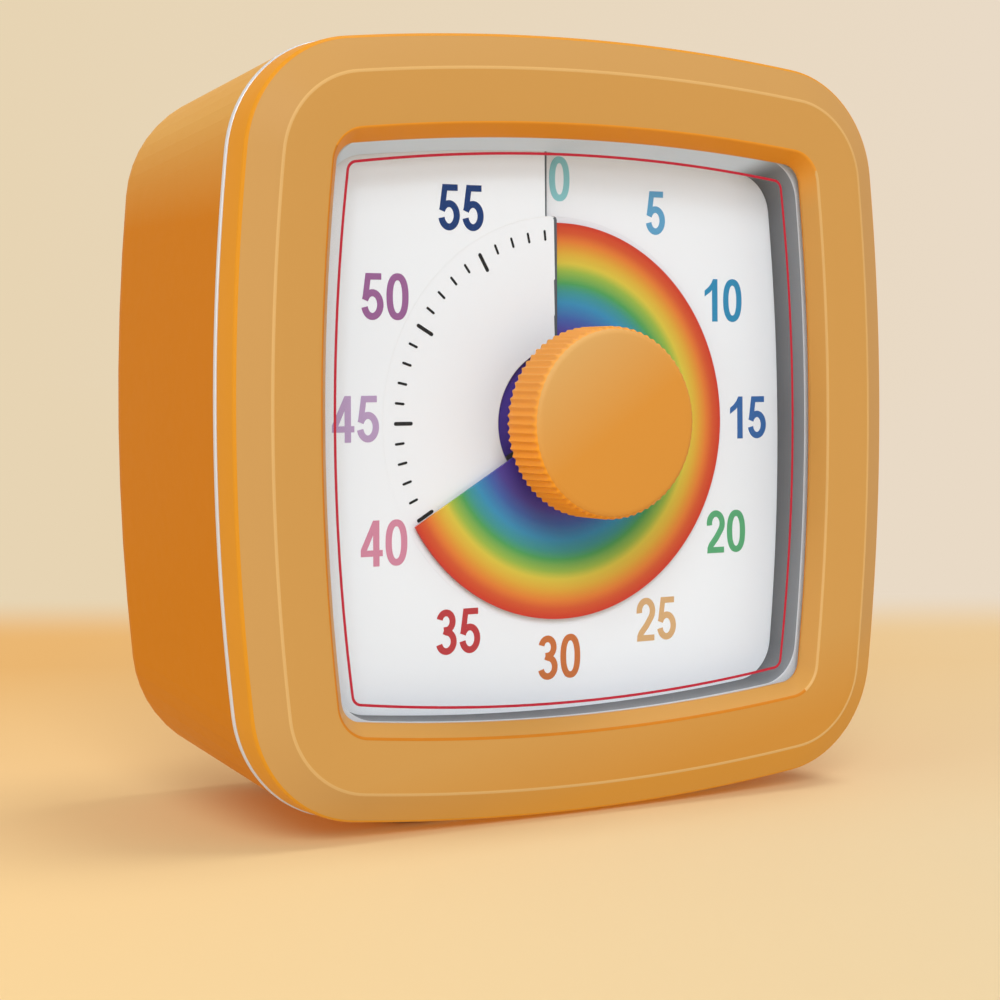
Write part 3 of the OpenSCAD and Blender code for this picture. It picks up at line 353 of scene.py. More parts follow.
# The looks that need no more than a colour and a roughness.
PLAIN = {
    "grey_plastic": ((176, 178, 180), 0.5),
    "white_plastic": ((236, 234, 226), 0.45),
    "dark_plastic": ((52, 54, 58), 0.5),
    "cell_skin": ((58, 104, 166), 0.25),
    "red_wire": ((176, 36, 28), 0.4),
    "black_wire": ((38, 38, 40), 0.4),
    "grey_wire": ((110, 113, 116), 0.4),
    "yellow_wire": ((214, 160, 56), 0.4),
}
MATERIALS = {
    **{name: plastic(name, srgb(*colour), rough) for name, (colour, rough) in PLAIN.items()},
    # The bezel: painted shade, a deeper orange at its very bottom.
    "bezel_plastic": plastic(
        "bezel_plastic", BEZEL_ORANGE, 0.42, uneven=0.015, Specular_IOR_Level=0.15,
        painted_light_sweep=sweep_of(BEZEL_SWEEP, BEZEL_RUN, BEZEL_SHADED_LOW, BEZEL_ORANGE),
    ),
    # The rear shell: painted light, paler towards its top.
    "rear_plastic": plastic(
        "rear_plastic", REAR_ORANGE, 0.45, uneven=0.015, Specular_IOR_Level=0.05,
        painted_light_sweep=sweep_of((0, 0, 1), REAR_RUN, REAR_ORANGE, REAR_LIT_TOP),
    ),
    # The knob's face: a painted sheen towards its upper left.
    "knob_plastic": plastic(
        "knob_plastic", KNOB_ORANGE, 0.45, uneven=0.015, Specular_IOR_Level=0.15,
        painted_light_sweep=sweep_of(KNOB_SWEEP, FACE_RUN, KNOB_ORANGE, KNOB_SHEEN_TOP),
    ),
    "trim": plastic("trim", srgb(205, 204, 206), 0.3, uneven=0.02, Metallic=0.2),
    "clear": plastic("clear", (0.9, 0.92, 0.94), 0.08, grain_depth=0.000002, Alpha=0.01),
    "card": plastic("card", CARD_WHITE, 0.6, grain=FINE_GRAIN, uneven=0.006),
    "steel": metal("steel", srgb(190, 192, 194), 0.3),
    "brass": metal("brass", srgb(214, 176, 96), 0.28),
    "copper": metal("copper", srgb(196, 112, 52), 0.35, stretch=200),
    "magnet": plastic("magnet", srgb(84, 86, 90), 0.4, Metallic=0.5),
    "board": plastic("board", srgb(34, 98, 54), 0.3, grain=1200),
    "rubber": plastic("rubber", srgb(48, 46, 45), 0.8, grain=1500, grain_depth=0.00003),
}

# Colours of the film disc, by the share of its radius.
RAINBOW = [
    (0.00, srgb(66, 44, 148)),
    (0.38, srgb(76, 54, 160)),
    (0.45, srgb(84, 68, 160)),
    (0.52, srgb(66, 100, 172)),
    (0.60, srgb(54, 142, 184)),
    (0.66, srgb(60, 148, 140)),
    (0.70, srgb(76, 158, 84)),
    (0.76, srgb(150, 180, 66)),
    (0.80, srgb(214, 192, 62)),
    (0.86, srgb(220, 160, 48)),
    (0.91, srgb(222, 120, 42)),
    (0.95, srgb(208, 82, 35)),
    (1.00, srgb(200, 50, 27)),
]
FILM_GLOSS = (0.38, 0.46)
FILM_GLOSS_GRAIN = 500
FILM_GRAIN = 1500
FILM_DEPTH = 0.000006


def rainbow():
    """Printed film: rings of colour round the dial's axis."""
    m = Nodes("disc_film")
    axis = at(0, RISE, 0)
    spot = m.add("ShaderNodeSeparateXYZ", Vector=m.place())
    rise = computed(m.tree, "SUBTRACT", spot.outputs["Z"], axis.z)
    flat = m.add("ShaderNodeCombineXYZ", X=spot.outputs["X"], Y=rise)
    radius = computed(m.tree, "LENGTH", flat.outputs["Vector"], kind="ShaderNodeVectorMath")
    share = computed(m.tree, "DIVIDE", radius, DISC_R * MM)
    gloss = m.level(m.noise(FILM_GLOSS_GRAIN), *FILM_GLOSS)
    m.shade(Base_Color=m.ramp(share, RAINBOW), Roughness=gloss, Specular_IOR_Level=DULL)
    m.bump(m.noise(FILM_GRAIN), FAINT_BUMP, FILM_DEPTH)
    return m.material


MATERIALS["disc_film"] = rainbow()

# ---------- shapes ----------


def turned(x, y, quarter):
    """A place moved round the middle by a number of quarter turns, clockwise."""
    return [(x, y), (y, -x), (-x, -y), (-y, x)][quarter]


def square_arcs(half, bulge, corner):
    """Of a square with bulging sides: how far beyond its middle each side's arc
    has its centre, the x and y of a corner's centre, and half a side's angle."""
    back = bulge - half
    reach = bulge - corner
    centre = (math.sqrt(2 * reach * reach - back * back) - back) / 2
    return back, centre, math.atan2(centre, centre + back)


def outline(half, bulge, corner, side_steps=14, corner_steps=20):
    """A square with bulging sides, clockwise from the top as the viewer sees it."""
    back, centre, turn = square_arcs(half, bulge, corner)
    points = []
    for quarter in range(4):
        for i in range(side_steps):
            a = turn * i / side_steps
            points.append(turned(bulge * math.sin(a), bulge * math.cos(a) - back, quarter))
        for i in range(corner_steps):
            a = turn + (math.pi / 2 - 2 * turn) * i / corner_steps
            x = centre + corner * math.sin(a)
            y = centre + corner * math.cos(a)
            points.append(turned(x, y, quarter))
        for i in range(side_steps):
            a = math.pi / 2 - turn + turn * i / side_steps
            points.append(turned(bulge * math.sin(a) - back, bulge * math.cos(a), quarter))
    return points


def case_outline(half):
    """The case's outline, moved inwards until its half-width is half."""
    inset = HALF - half
    return outline(half, BULGE - inset, max(CORNER - inset, MIN_CORNER))


FILLET_SHARE = 0.45     # of a side of the profile, that a rounding may take up


def filleted(points, steps=6):
    """A closed profile with its corners rounded.

    Its points are (half-width, u, rounding) and, where they differ from 0, the
    widening to each side, the shift to the right and the drop. Gives the rounded
    points without the rounding, and the corner that each came from.
    """
    rounded, corners = [], []
    count = len(points)
    places = [Vector((x, u, *(shifts or (0.0, 0.0, 0.0)))) for x, u, r, *shifts in points]
    for i, here in enumerate(places):
        before = places[i - 1] - here
        after = places[(i + 1) % count] - here
        reach = min(points[i][2], before.length * FILLET_SHARE, after.length * FILLET_SHARE)
        if reach <= 0:
            rounded.append(tuple(here))
            corners.append(i)
            continue
        start = here + before.normalized() * reach
        end = here + after.normalized() * reach
        for k in range(steps + 1):
            t = k / steps
            rounded.append(tuple(start * (1 - t) ** 2 + here * 2 * t * (1 - t) + end * t * t))
            corners.append(i)
    return rounded, corners


def mesh_piece(name, points, faces, body, slot, materials=None, sharp=35):
    """A smooth-shaded piece from points in metres, riding on a CAD body."""
    mesh = bpy.data.meshes.new(name)
    mesh.from_pydata([tuple(p) for p in points], [], faces)
    shape = bmesh.new()
    shape.from_mesh(mesh)
    bmesh.ops.recalc_face_normals(shape, faces=shape.faces)
    for face in shape.faces:
        face.smooth = True
    for edge in shape.edges:
        if len(edge.link_faces) == 2 and edge.calc_face_angle() > math.radians(sharp):
            edge.smooth = False
    shape.to_mesh(mesh)
    shape.free()
    piece = bpy.data.objects.new(name, mesh)
    bpy.context.scene.collection.objects.link(piece)
    for material in materials or [MATERIALS[slot]]:
        mesh.materials.append(material)
    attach(piece, body)
    return piece


def ring_faces(rows, columns, closed_rows=True, closed_columns=True):
    """Four-sided faces between the points of a grid, row after row."""
    faces = []
    for k in range(rows if closed_rows else rows - 1):
        row, below = k * columns, (k + 1) % rows * columns
        for i in range(columns if closed_columns else columns - 1):
            side = (i + 1) % columns
            faces.append((row + i, row + side, below + side, below + i))
    return faces


def moulded_ring(name, profile, body, slot, outline_of=case_outline, materials=None):
    """A closed ring: a profile, as filleted gives it, carried round an outline."""
    rings = [outline_of(row[0]) for row in profile]
    points = [
        at(x * (1 + wider / half) + aside, y - drop, u)
        for (half, u, wider, aside, drop), ring in zip(profile, rings)
        for x, y in ring
    ]
    return mesh_piece(name, points, ring_faces(len(rings), len(rings[0])), body, slot, materials)


# ---------- case ----------


BEZEL_SIDE_U = 4.74     # where the bezel's side meets its slope
SLOPE_WIDE = 3.55       # the slope, as seen from the front
OPENING_HALF = 33.5     # the opening where it meets the face
MOUTH_HALF = 32.1       # and at the window
MOUTH_U = 4.7
LENS_FRONT = 4.25       # room for the window behind the mouth
LENS_BACK = 3.5
LENS_ROOM = 34.9
RABBET_HALF = 35.8      # the ledge round that room
INNER_HALF = 38.4       # the hollow behind the face
INNER_U = 4.9
WALL_HALF = 40.8        # the inside of the bezel's wall
WALL_U = 3.4

SIDE_EDGE = 1           # corners of the profile: where the side meets the slope
SLOPE_EDGE = 2          # where the slope meets the face
OPENING_EDGE = 3        # where the face meets the opening's bevel
MOUTH_EDGE = 4          # where the bevel meets the mouth
LENS_EDGE = 5           # and the mouth's end at the window
DIAGONAL_DROP = 2 * MM  # what counts as above, for the painted shade on top, starts this far below the diagonals
RIGHT_PART = 30 * MM    # and what counts as right, for the painted highlight and shade line there, starts here

# Painted light and shade on the bezel, each a copy of its orange plastic.
BEZEL_PAINTED_LIGHT = {
    # Painted shade on the bezel's outer side, as a deeper copy of its orange.
    "side": plastic("bezel_side_painted_shade", BEZEL_SHADED_SIDE, 0.42, Specular_IOR_Level=DULL),
    # Thin lines along the creases: a painted highlight, and a painted shade.
    "crease_painted_highlight": plastic("crease_painted_highlight", CREASE_HIGHLIGHT, 0.4, Specular_IOR_Level=0.15),
    "crease_painted_shade": plastic("crease_painted_shade", CREASE_SHADE, 0.4, Specular_IOR_Level=DULL),
    # Painted shade on the top of the opening's bevel; its sides keep the orange.
    "bevel": cornered("bevel", BEZEL_ORANGE, BEVEL_SHADED_TOP, 0.4, -0.0095, -0.0005),
    # The slope: a darker copy that evens out the stronger light on it, with painted shade at its
    # bottom.
    "slope": cornered(
        "slope", SLOPE_SHADED_SIDE, SLOPE_SHADED_TOP, 0.42, -0.012, 0.004,
        side_sweep=sweep_of(BEZEL_SWEEP, BEZEL_RUN, SLOPE_SHADED_LOW, SLOPE_SHADED_SIDE),
    ),
}


def bezel_look(corner, following, above, right):
    """Which painted light or shade a face of the bezel gets, or None where it is the plain plastic.

    It lies between two points that come from these corners of the profile, and
    above the diagonals through the case's middle, or to the right, or neither.
    """
    if following <= SIDE_EDGE:
        return "side"
    if corner == following == SLOPE_EDGE:
        return "crease_painted_highlight"
    if following == SLOPE_EDGE:
        return "slope"
    if corner == following == OPENING_EDGE:
        if above:
            return "bevel"
        return "crease_painted_highlight" if right else "crease_painted_shade"
    if OPENING_EDGE <= corner < LENS_EDGE and (above or following < LENS_EDGE):
        return "bevel"
    if corner == MOUTH_EDGE and following == LENS_EDGE and right:
        return "crease_painted_shade"
    return None


def make_bezel():
    """The front frame, with its slope, its bevelled opening and its inside."""
    profile, corners = filleted([
        (HALF, BEAD_HIGH, 0.15),
        (HALF, BEZEL_SIDE_U, 0.35),
        (HALF - SLOPE_WIDE, FACE_U, 0.18, 0, 0, 0.3),
        (OPENING_HALF, FACE_U, 0.2, 0, -0.25, 0.25),
        (MOUTH_HALF, MOUTH_U, 0.3, 0.22, -0.05, 0.2),
        (MOUTH_HALF, LENS_FRONT, 0.1, 0.22, -0.05, 0.2),
        (LENS_ROOM, LENS_FRONT, 0),
        (LENS_ROOM, LENS_BACK, 0),
        (RABBET_HALF, LENS_BACK, 0),
        (RABBET_HALF, INNER_U, 0),
        (INNER_HALF, INNER_U, 0),
        (WALL_HALF, WALL_U, 0),
        (WALL_HALF, BEAD_HIGH, 0),
    ])
    looks = [MATERIALS["bezel_plastic"], *BEZEL_PAINTED_LIGHT.values()]
    indices = {None: 0, **{name: i for i, name in enumerate(BEZEL_PAINTED_LIGHT, 1)}}
    bezel = moulded_ring("bezel_skin", profile, "case", "bezel_plastic", materials=looks)
    columns = len(bezel.data.polygons) // len(profile)
    # Each face gets its painted light or shade by where it lies.
    for face in bezel.data.polygons:
        k = face.index // columns
        above = face.center.z - CASE_Z > abs(face.center.x) - DIAGONAL_DROP
        right = face.center.x > RIGHT_PART
        look = bezel_look(corners[k], corners[(k + 1) % len(corners)], above, right)
        face.material_index = indices[look]
    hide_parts("front_bezel")


def make_trim():
    """The silver bead in the seam between the case's halves."""
    proud, sunk, play = 0.1, 2.1, 0.02
    profile, _ = filleted([
        (HALF + proud, TRIM_LOW + play, 0.3),
        (HALF + proud, BEAD_HIGH - play, 0.3),
        (HALF - sunk, BEAD_HIGH - play, 0),
        (HALF - sunk, TRIM_LOW + play, 0),
    ])
    trim = moulded_ring("trim_bead", profile, "case", "trim")
    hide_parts("trim_ring")


# ---------- dial ----------

WINDOW_HALF = 31.45     # what the frame round the dial leaves open
WINDOW_CORNER = 5.0
CARD_LAP = 1.65         # how far the card goes on behind it
SLIT_END = DISC_R + 0.3
# Past the slit's end: the way outwards, and the share of its step aside there.
STEP_ROWS = [(0, 0), (0.32, 0.12), (0.42, 0.5), (0.43, 1)]
STEP_END = SLIT_END + STEP_ROWS[-1][0]
SLIT_SHADOW_WIDTH = 0.3         # of the painted shadow, a dark line along the slit's raised side
RIM_LEAN = math.asin((SLIT_X + SLIT_STEP) / (WINDOW_HALF + CARD_LAP))


def step_at(radius):
    """How far the slit has moved aside at a distance from the axis."""
    rows = [(SLIT_END + further, share) for further, share in STEP_ROWS]
    if radius <= rows[0][0]:
        return 0.0
    for (r0, s0), (r1, s1) in zip(rows, rows[1:]):
        if radius <= r1:
            return SLIT_STEP * (s0 + (s1 - s0) * (radius - r0) / (r1 - r0))
    return SLIT_STEP


def slit_lean(radius):
    """Angle of the slit from the vertical at a distance from the axis."""
    return math.asin((SLIT_X + step_at(radius)) / radius)


def turn_at(x, y):
    """Share of a turn, clockwise from the slit, of a place on the card."""
    radius = math.hypot(x, y - RISE)
    return ((math.atan2(x, y - RISE) + slit_lean(radius)) / math.tau) % 1.0


def on_card(x, y, lift):
    """A place on the card's front, lifted from it."""
    return at(x, y, CARD_U + PITCH * turn_at(x, y) + CARD_T / 2 + lift)


def inside(x, y, half, bulge, corner):
    """Whether a place lies inside such a square."""
    x, y = abs(x), abs(y)
    back, centre, turn = square_arcs(half, bulge, corner)
    if math.atan2(x, y + back) <= turn:
        return math.hypot(x, y + back) <= bulge
    if math.atan2(y, x + back) <= turn:
        return math.hypot(x + back, y) <= bulge
    return math.hypot(x - centre, y - centre) <= corner


def rim(angle, half, corner):
    """Where a ray from the axis meets a square outline, as x and y."""
    low, high = 0.0, 2 * half
    for _ in range(30):
        middle = (low + high) / 2
        x, y = middle * math.sin(angle), middle * math.cos(angle) + RISE
        if inside(x, y, half, BULGE - HALF + half, corner):
            low = middle
        else:
            high = middle
    return low * math.sin(angle), low * math.cos(angle) + RISE


DIAL_COLUMNS = 720


def sheet_piece(name, front, thickness, body, slot, columns):
    """A sheet from rows of front points, as thick as asked, away from the viewer."""
    rows = len(front) // columns
    back = [p + Vector((0, thickness * MM, 0)) for p in front]
    count = len(front)
    faces = ring_faces(rows, columns, False, False)
    faces += [tuple(count + i for i in reversed(f)) for f in faces]
    last = (rows - 1) * columns
    for i in range(columns - 1):
        faces.append((i, i + 1, count + i + 1, count + i))
        faces.append((last + i, last + i + 1, count + last + i + 1, count + last + i))
    for k in range(rows - 1):
        for end in (0, columns - 1):
            a, b = k * columns + end, (k + 1) * columns + end
            faces.append((a, b, count + b, count + a))
    return mesh_piece(name, front + back, faces, body, slot)


CARD_RADII = [CARD_HOLE_R, CARD_HOLE_R + 0.08, 12, 16, 20]
CARD_RADII += [SLIT_END + further for further in (0, 0.12, 0.24, 0.34, 0.42, 0.43)]
CARD_SHARES = (0.35, 0.7, 1.0)      # further rows, on the way to the card's edge
HOLE_ROUND = 0.06       # how much lower the card's front is at its hole


def make_card():
    """The white card, one turn of a screw surface from the slit round to it."""
    front = []
    for radius in CARD_RADII:
        sunk = HOLE_ROUND if radius == CARD_HOLE_R else 0
        for i in range(DIAL_COLUMNS + 1):
            t = i / DIAL_COLUMNS
            a = math.tau * t - slit_lean(radius)
            u = CARD_U + PITCH * t + CARD_T / 2 - sunk
            front.append(at(radius * math.sin(a), radius * math.cos(a) + RISE, u))
    half = WINDOW_HALF + CARD_LAP
    for share in CARD_SHARES:
        for i in range(DIAL_COLUMNS + 1):
            t = i / DIAL_COLUMNS
            a = math.tau * t - slit_lean(STEP_END)
            x0, y0 = STEP_END * math.sin(a), STEP_END * math.cos(a) + RISE
            x1, y1 = rim(math.tau * t - RIM_LEAN, half, WINDOW_CORNER + 1)
            x, y = x0 + (x1 - x0) * share, y0 + (y1 - y0) * share
            front.append(at(x, y, CARD_U + PITCH * t + CARD_T / 2))
    card = sheet_piece("card_sheet", front, CARD_T, "case", "card", DIAL_COLUMNS + 1)
    # A painted shadow: a dark strip on the card along the raised side of the slit.
    card.data.materials.append(plastic("slit_painted_shadow", srgb(84, 88, 94), 0.6, Specular_IOR_Level=DULL))
    rows = len(CARD_RADII) + len(CARD_SHARES) - 1
    for face in card.data.polygons[:rows * DIAL_COLUMNS]:
        row, column = divmod(face.index, DIAL_COLUMNS)
        radius = CARD_RADII[min(row, len(CARD_RADII) - 1)]
        across = SLIT_SHADOW_WIDTH / (math.tau * radius / DIAL_COLUMNS)
        if column >= DIAL_COLUMNS - max(1, round(across)):
            face.material_index = 1
    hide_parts("dial_card")


def make_disc():
    """The film disc, one turn of the same surface, set at its place at rest."""
    inner = 4.35            # radius of its hole
    rows = 24
    columns = 540
    rest = MINUTES_LEFT / 60
    kerf = 0.0022           # share of a turn that its cut takes
    ahead = 0.5             # of a turn's pitch, that it lies in front of the card
    front = []
    for k in range(rows + 1):
        radius = inner + (DISC_R - inner) * k / rows
        for i in range(columns + 1):
            t = rest - (1 - kerf) * (1 - i / columns)
            a = math.tau * t
            u = CARD_U + PITCH * (t + ahead) + DISC_T / 2
            front.append(at(radius * math.sin(a), radius * math.cos(a) + RISE, u))
    disc = sheet_piece("film_disc", front, DISC_T, "colour_disc", "disc_film", columns + 1)
    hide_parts("time_disc")


WALL_ROW = 4            # of the frame's profile: the faces above it are pale
WALL_DEPTHS = (-0.0008, 0.0034)     # metres in front of the dial, where the wall's painted shade runs on


def make_surround():
    """The frame round the dial: a pale lip, and a grey wall down to the card, with painted shade
    darkest towards the card and painted light on its top.
    """
    half_out = 36.0
    top = 3.4
    low = 0.6
    lip = 32.35
    lip_shift = 0.14        # moves the lip to the right
    wall_drop = 0.62        # and the wall's foot down
    play = 0.1              # between the frame and the card
    columns = DIAL_COLUMNS
    ramp = 0.013            # share of a turn in which the foot climbs back at the slit
    edge = WINDOW_HALF + CARD_LAP + play
    points = []
    rows = [
        (half_out, WINDOW_CORNER + 3, "low", 0, 0),
        (half_out, WINDOW_CORNER + 3, top, 0, 0),
        (lip + 0.1, WINDOW_CORNER, top, lip_shift, 0),
        (lip + 0.02, WINDOW_CORNER, top - 0.03, lip_shift, 0),
        (lip - 0.02, WINDOW_CORNER, top - 0.12, lip_shift, 0),
        (WINDOW_HALF, WINDOW_CORNER, "card", 0, wall_drop),
        (edge, WINDOW_CORNER + 1, "card", 0, 0),
        (edge, WINDOW_CORNER + 1, "low", 0, 0),
    ]
    for half, corner, level, aside, drop in rows:
        for i in range(columns):
            t = i / columns
            x, y = rim(math.tau * t - RIM_LEAN, half, corner)
            share = max(t, 1 - t / ramp) if t < ramp else t
            on_foot = CARD_U + CARD_T / 2 + play + PITCH * share
            u = {"low": low, "card": on_foot}.get(level, level)
            points.append(at(x + aside, y - drop, u))
    run = [-DIAL_Y + depth for depth in WALL_DEPTHS]
    looks = [
        MATERIALS["grey_plastic"],
        # The wall: painted shade, darkest deep towards the card, and paler painted light on its
        # top.
        cornered(
            "surround_wall_painted_shade", WALL_SHADED_DEEP, WALL_LIT_TOP, 0.5, -0.002, 0.0035,
            side_sweep=sweep_of((0, -1, 0), run, WALL_SHADED_DEEP, WALL_LESS_SHADED),
        ),
        plastic("surround_pale", srgb(206, 207, 210), 0.5, Specular_IOR_Level=DULL),
    ]
    piece = mesh_piece(
        "dial_surround", points, ring_faces(len(rows), columns), "case", "grey_plastic", looks,
    )
    for face in piece.data.polygons:
        row = face.index // columns
        face.material_index = 1 if row == WALL_ROW else 2 if row < WALL_ROW else 0
    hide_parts("inner_frame")


def make_red_line():
    """The thin red line printed inside the window."""
    half = 30.6
    width = 0.3
    drop = 0.3
    corner = 1.1
    bulge = 215
    high, low = 3.44, 3.41
    corners = ((1, low), (1, high), (-1, high), (-1, low))
    profile = [(half + side * width / 2, u, 0, 0, drop) for side, u in corners]

    def line_outline(at_half):
        return outline(at_half, bulge - half + at_half, corner + at_half - half)

    looks = [ink("red_ink", srgb(190, 22, 46))]
    moulded_ring("red_line", profile, "case", "clear", line_outline, looks)


# ---------- knob ----------

KNOB_R = 10.6
KNOB_BACK = 5.4
KNOB_CROWN = 0.25       # how far its face rises to the middle
KNOB_EDGE = 1.0         # radius of the edge of its face
KNOB_FOOT = 0.3         # height of the rounding at its back
NECK_R = 4.4
NECK_BACK = 3.05
HOLLOW_R = 8.8
HOLLOW_U = 9.6          # floor of the hollow round the neck
RIBS = 72
RIB_DEPTH = 0.3
RIB_COLUMNS = 10
RIBBED_ROWS = 18        # rows of the knob's profile up to the edge of its face


def make_knob():
    """The grip: fine ribs that fade into a rounded rim around a smooth face."""
    face = KNOB_U - KNOB_CROWN
    straight = face - KNOB_EDGE - KNOB_BACK - KNOB_FOOT
    flat = KNOB_R - KNOB_EDGE
    # Rows of (radius, u, share of the ribs' depth).
    profile = [
        (NECK_R, NECK_BACK, 0), (NECK_R, HOLLOW_U, 0), (HOLLOW_R, HOLLOW_U, 0),
        (HOLLOW_R, KNOB_BACK, 0), (KNOB_R - 0.25, KNOB_BACK, 0.6),
        (KNOB_R - 0.06, KNOB_BACK + 0.08, 0.9), (KNOB_R, KNOB_BACK + KNOB_FOOT, 1),
    ]
    for k in range(1, 8):
        profile.append((KNOB_R, KNOB_BACK + KNOB_FOOT + straight * k / 7, 1))
    for k in range(1, 11):
        a = math.pi / 2 * k / 10
        inwards, back = KNOB_EDGE * (1 - math.cos(a)), KNOB_EDGE * (1 - math.sin(a))
        profile.append((KNOB_R - inwards, face - back, max(0.0, 1 - k / 6)))
    for k in range(1, 8):
        profile.append((flat * (1 - k / 8), KNOB_U - KNOB_CROWN * (1 - k / 8) ** 2, 0))
    columns = RIBS * RIB_COLUMNS
    points = []
    for radius, u, fade in profile:
        for i in range(columns):
            a = math.tau * i / columns
            wave = 0.5 - 0.5 * math.cos(math.tau * i / RIB_COLUMNS)
            r = radius - RIB_DEPTH * fade * wave ** 0.7
            points.append(at(r * math.sin(a), r * math.cos(a) + RISE, u))
    faces = ring_faces(len(profile), columns, False, True)
    last = (len(profile) - 1) * columns
    for start, u in ((0, profile[0][1]), (last, KNOB_U)):
        points.append(at(0, RISE, u))
        middle = len(points) - 1
        faces += [(start + i, start + (i + 1) % columns, middle) for i in range(columns)]
    # The ribbed side: a brighter copy, painted light against its shade, with a painted sheen
    # towards its upper left.
    side = plastic(
        "knob_side_painted_light", KNOB_SIDE_LIT, 0.45, uneven=0.015, Specular_IOR_Level=DULL,
        painted_light_sweep=sweep_of(KNOB_SWEEP, GRIP_RUN, KNOB_SIDE_LIT, KNOB_SHEEN_TOP),
    )
    looks = [MATERIALS["knob_plastic"], side]
    knob = mesh_piece("knob_grip", points, faces, "dial_knob", "knob_plastic", looks, sharp=50)
    for face in knob.data.polygons:
        if face.index // columns < RIBBED_ROWS:
            face.material_index = 1
    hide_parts("knob")


# ---------- print on the dial ----------

DIGIT_HEIGHT = 5.0
DIGIT_SCALE = 1.02      # of their width
INK = 0.03              # how far print stands out of the card, and goes into it
STROKE = 0.152          # of the digits' lines, as a share of their height


def arc(x, y, rx, ry, start, end, steps, power=1.0):
    """Points on part of an ellipse; angles in degrees, anticlockwise from the right.

    A power below 1 makes it squarer.
    """
    points = []
    for k in range(steps + 1):
        a = math.radians(start + (end - start) * k / steps)
        c, s = math.cos(a), math.sin(a)
        points.append((
            x + rx * math.copysign(abs(c) ** power, c),
            y + ry * math.copysign(abs(s) ** power, s),
        ))
    return points


def stroke(path, width, closed=False):
    """The outline of a line of that width along a path."""
    left, right = [], []
    count = len(path)
    for i, point in enumerate(path):
        here = Vector(point)
        before = Vector(path[i - 1] if closed or i else path[0])
        after = Vector(path[(i + 1) % count] if closed or i < count - 1 else path[-1])
        along = (after - before).normalized()
        side = Vector((-along.y, along.x)) * width / 2
        left.append(tuple(here + side))
        right.append(tuple(here - side))
    return left, right


# Each digit as areas, as lines of some width, or as a ring, of height 1.
DIGITS = {
    "0": [("ring", arc(0.27, 0.5, 0.19, 0.43, 0, 360, 48, 0.86)[:-1], STROKE)],
    "1": [
        ("area", [(0.24, 0), (0.395, 0), (0.395, 1), (0.27, 1), (0.24, 0.9)], 0),
        ("area", [
            (0.27, 1.0), (0.30, 0.82), (0.2, 0.7), (0.03, 0.59), (0.03, 0.73), (0.14, 0.81),
            (0.22, 0.9),
        ], 0),
    ],
    "2": [
        ("line", [
            *arc(0.265, 0.70, 0.185, 0.235, 190, -38, 24), (0.28, 0.36), (0.13, 0.19),
            (0.085, 0.08),
        ], STROKE),
        ("area", [(0.012, 0), (0.50, 0), (0.50, 0.14), (0.03, 0.14)], 0),
    ],
    "3": [
        ("line", arc(0.255, 0.735, 0.165, 0.195, 165, -80, 24) + [(0.2, 0.535)], STROKE),
        ("line", [(0.2, 0.535)] + arc(0.26, 0.285, 0.185, 0.215, 85, -165, 28), STROKE),
    ],
    "4": [
        ("area", [(0.30, 0), (0.45, 0), (0.45, 1), (0.30, 1)], 0),
        ("area", [(0, 0.22), (0.53, 0.22), (0.53, 0.355), (0, 0.355)], 0),
        ("area", [
            (0, 0.26), (0, 0.37), (0.30, 1), (0.38, 1), (0.38, 0.86), (0.13, 0.32), (0.13, 0.26),
        ], 0),
    ],
    "5": [
        ("area", [(0.09, 0.86), (0.475, 0.86), (0.475, 1), (0.11, 1)], 0),
        ("area", [(0.025, 0.465), (0.165, 0.49), (0.235, 1), (0.1, 1)], 0),
        ("line", arc(0.26, 0.325, 0.19, 0.255, 158, -168, 30), STROKE),
    ],
}

NUMERAL_COLOURS = {
    0: (136, 196, 200), 5: (92, 157, 196), 10: (42, 135, 177), 15: (49, 99, 162),
    20: (86, 166, 114), 25: (213, 169, 117), 30: (199, 110, 54), 35: (186, 55, 58),
    40: (208, 133, 156), 45: (181, 152, 188), 50: (150, 93, 144), 55: (9, 51, 111),
}


def flat_plates(shapes):
    """A digit's shapes as closed plates that may overlap, in one mesh."""
    shape = bmesh.new()

    def level(places, z):
        return [shape.verts.new((x, y, z)) for x, y in places]

    for kind, path, width in shapes:
        hole = None
        if kind == "ring":
            edge, hole = stroke(path, width, closed=True)
        elif kind == "line":
            left, right = stroke(path, width)
            edge = left + right[::-1]
        else:
            edge = path
        top, base = level(edge, 1), level(edge, 0)
        n = len(top)
        if hole:
            top_in, base_in = level(hole, 1), level(hole, 0)
            for k in range(n):
                j = (k + 1) % n
                shape.faces.new([top[k], top[j], top_in[j], top_in[k]])
                shape.faces.new([base[j], base[k], base_in[k], base_in[j]])
                shape.faces.new([top[j], top[k], base[k], base[j]])
                shape.faces.new([top_in[k], top_in[j], base_in[j], base_in[k]])
            continue
        if kind == "line":
            for k in range(n // 2 - 1):
                shape.faces.new([top[k], top[k + 1], top[n - 2 - k], top[n - 1 - k]])
                shape.faces.new([base[n - 1 - k], base[n - 2 - k], base[k + 1], base[k]])
        else:
            shape.faces.new(top)
            shape.faces.new(base[::-1])
        for k in range(n):
            j = (k + 1) % n
            shape.faces.new([top[k], base[k], base[j], top[j]])
    bmesh.ops.recalc_face_normals(shape, faces=shape.faces)
    mesh = bpy.data.meshes.new("digit")
    shape.to_mesh(mesh)
    shape.free()
    return mesh


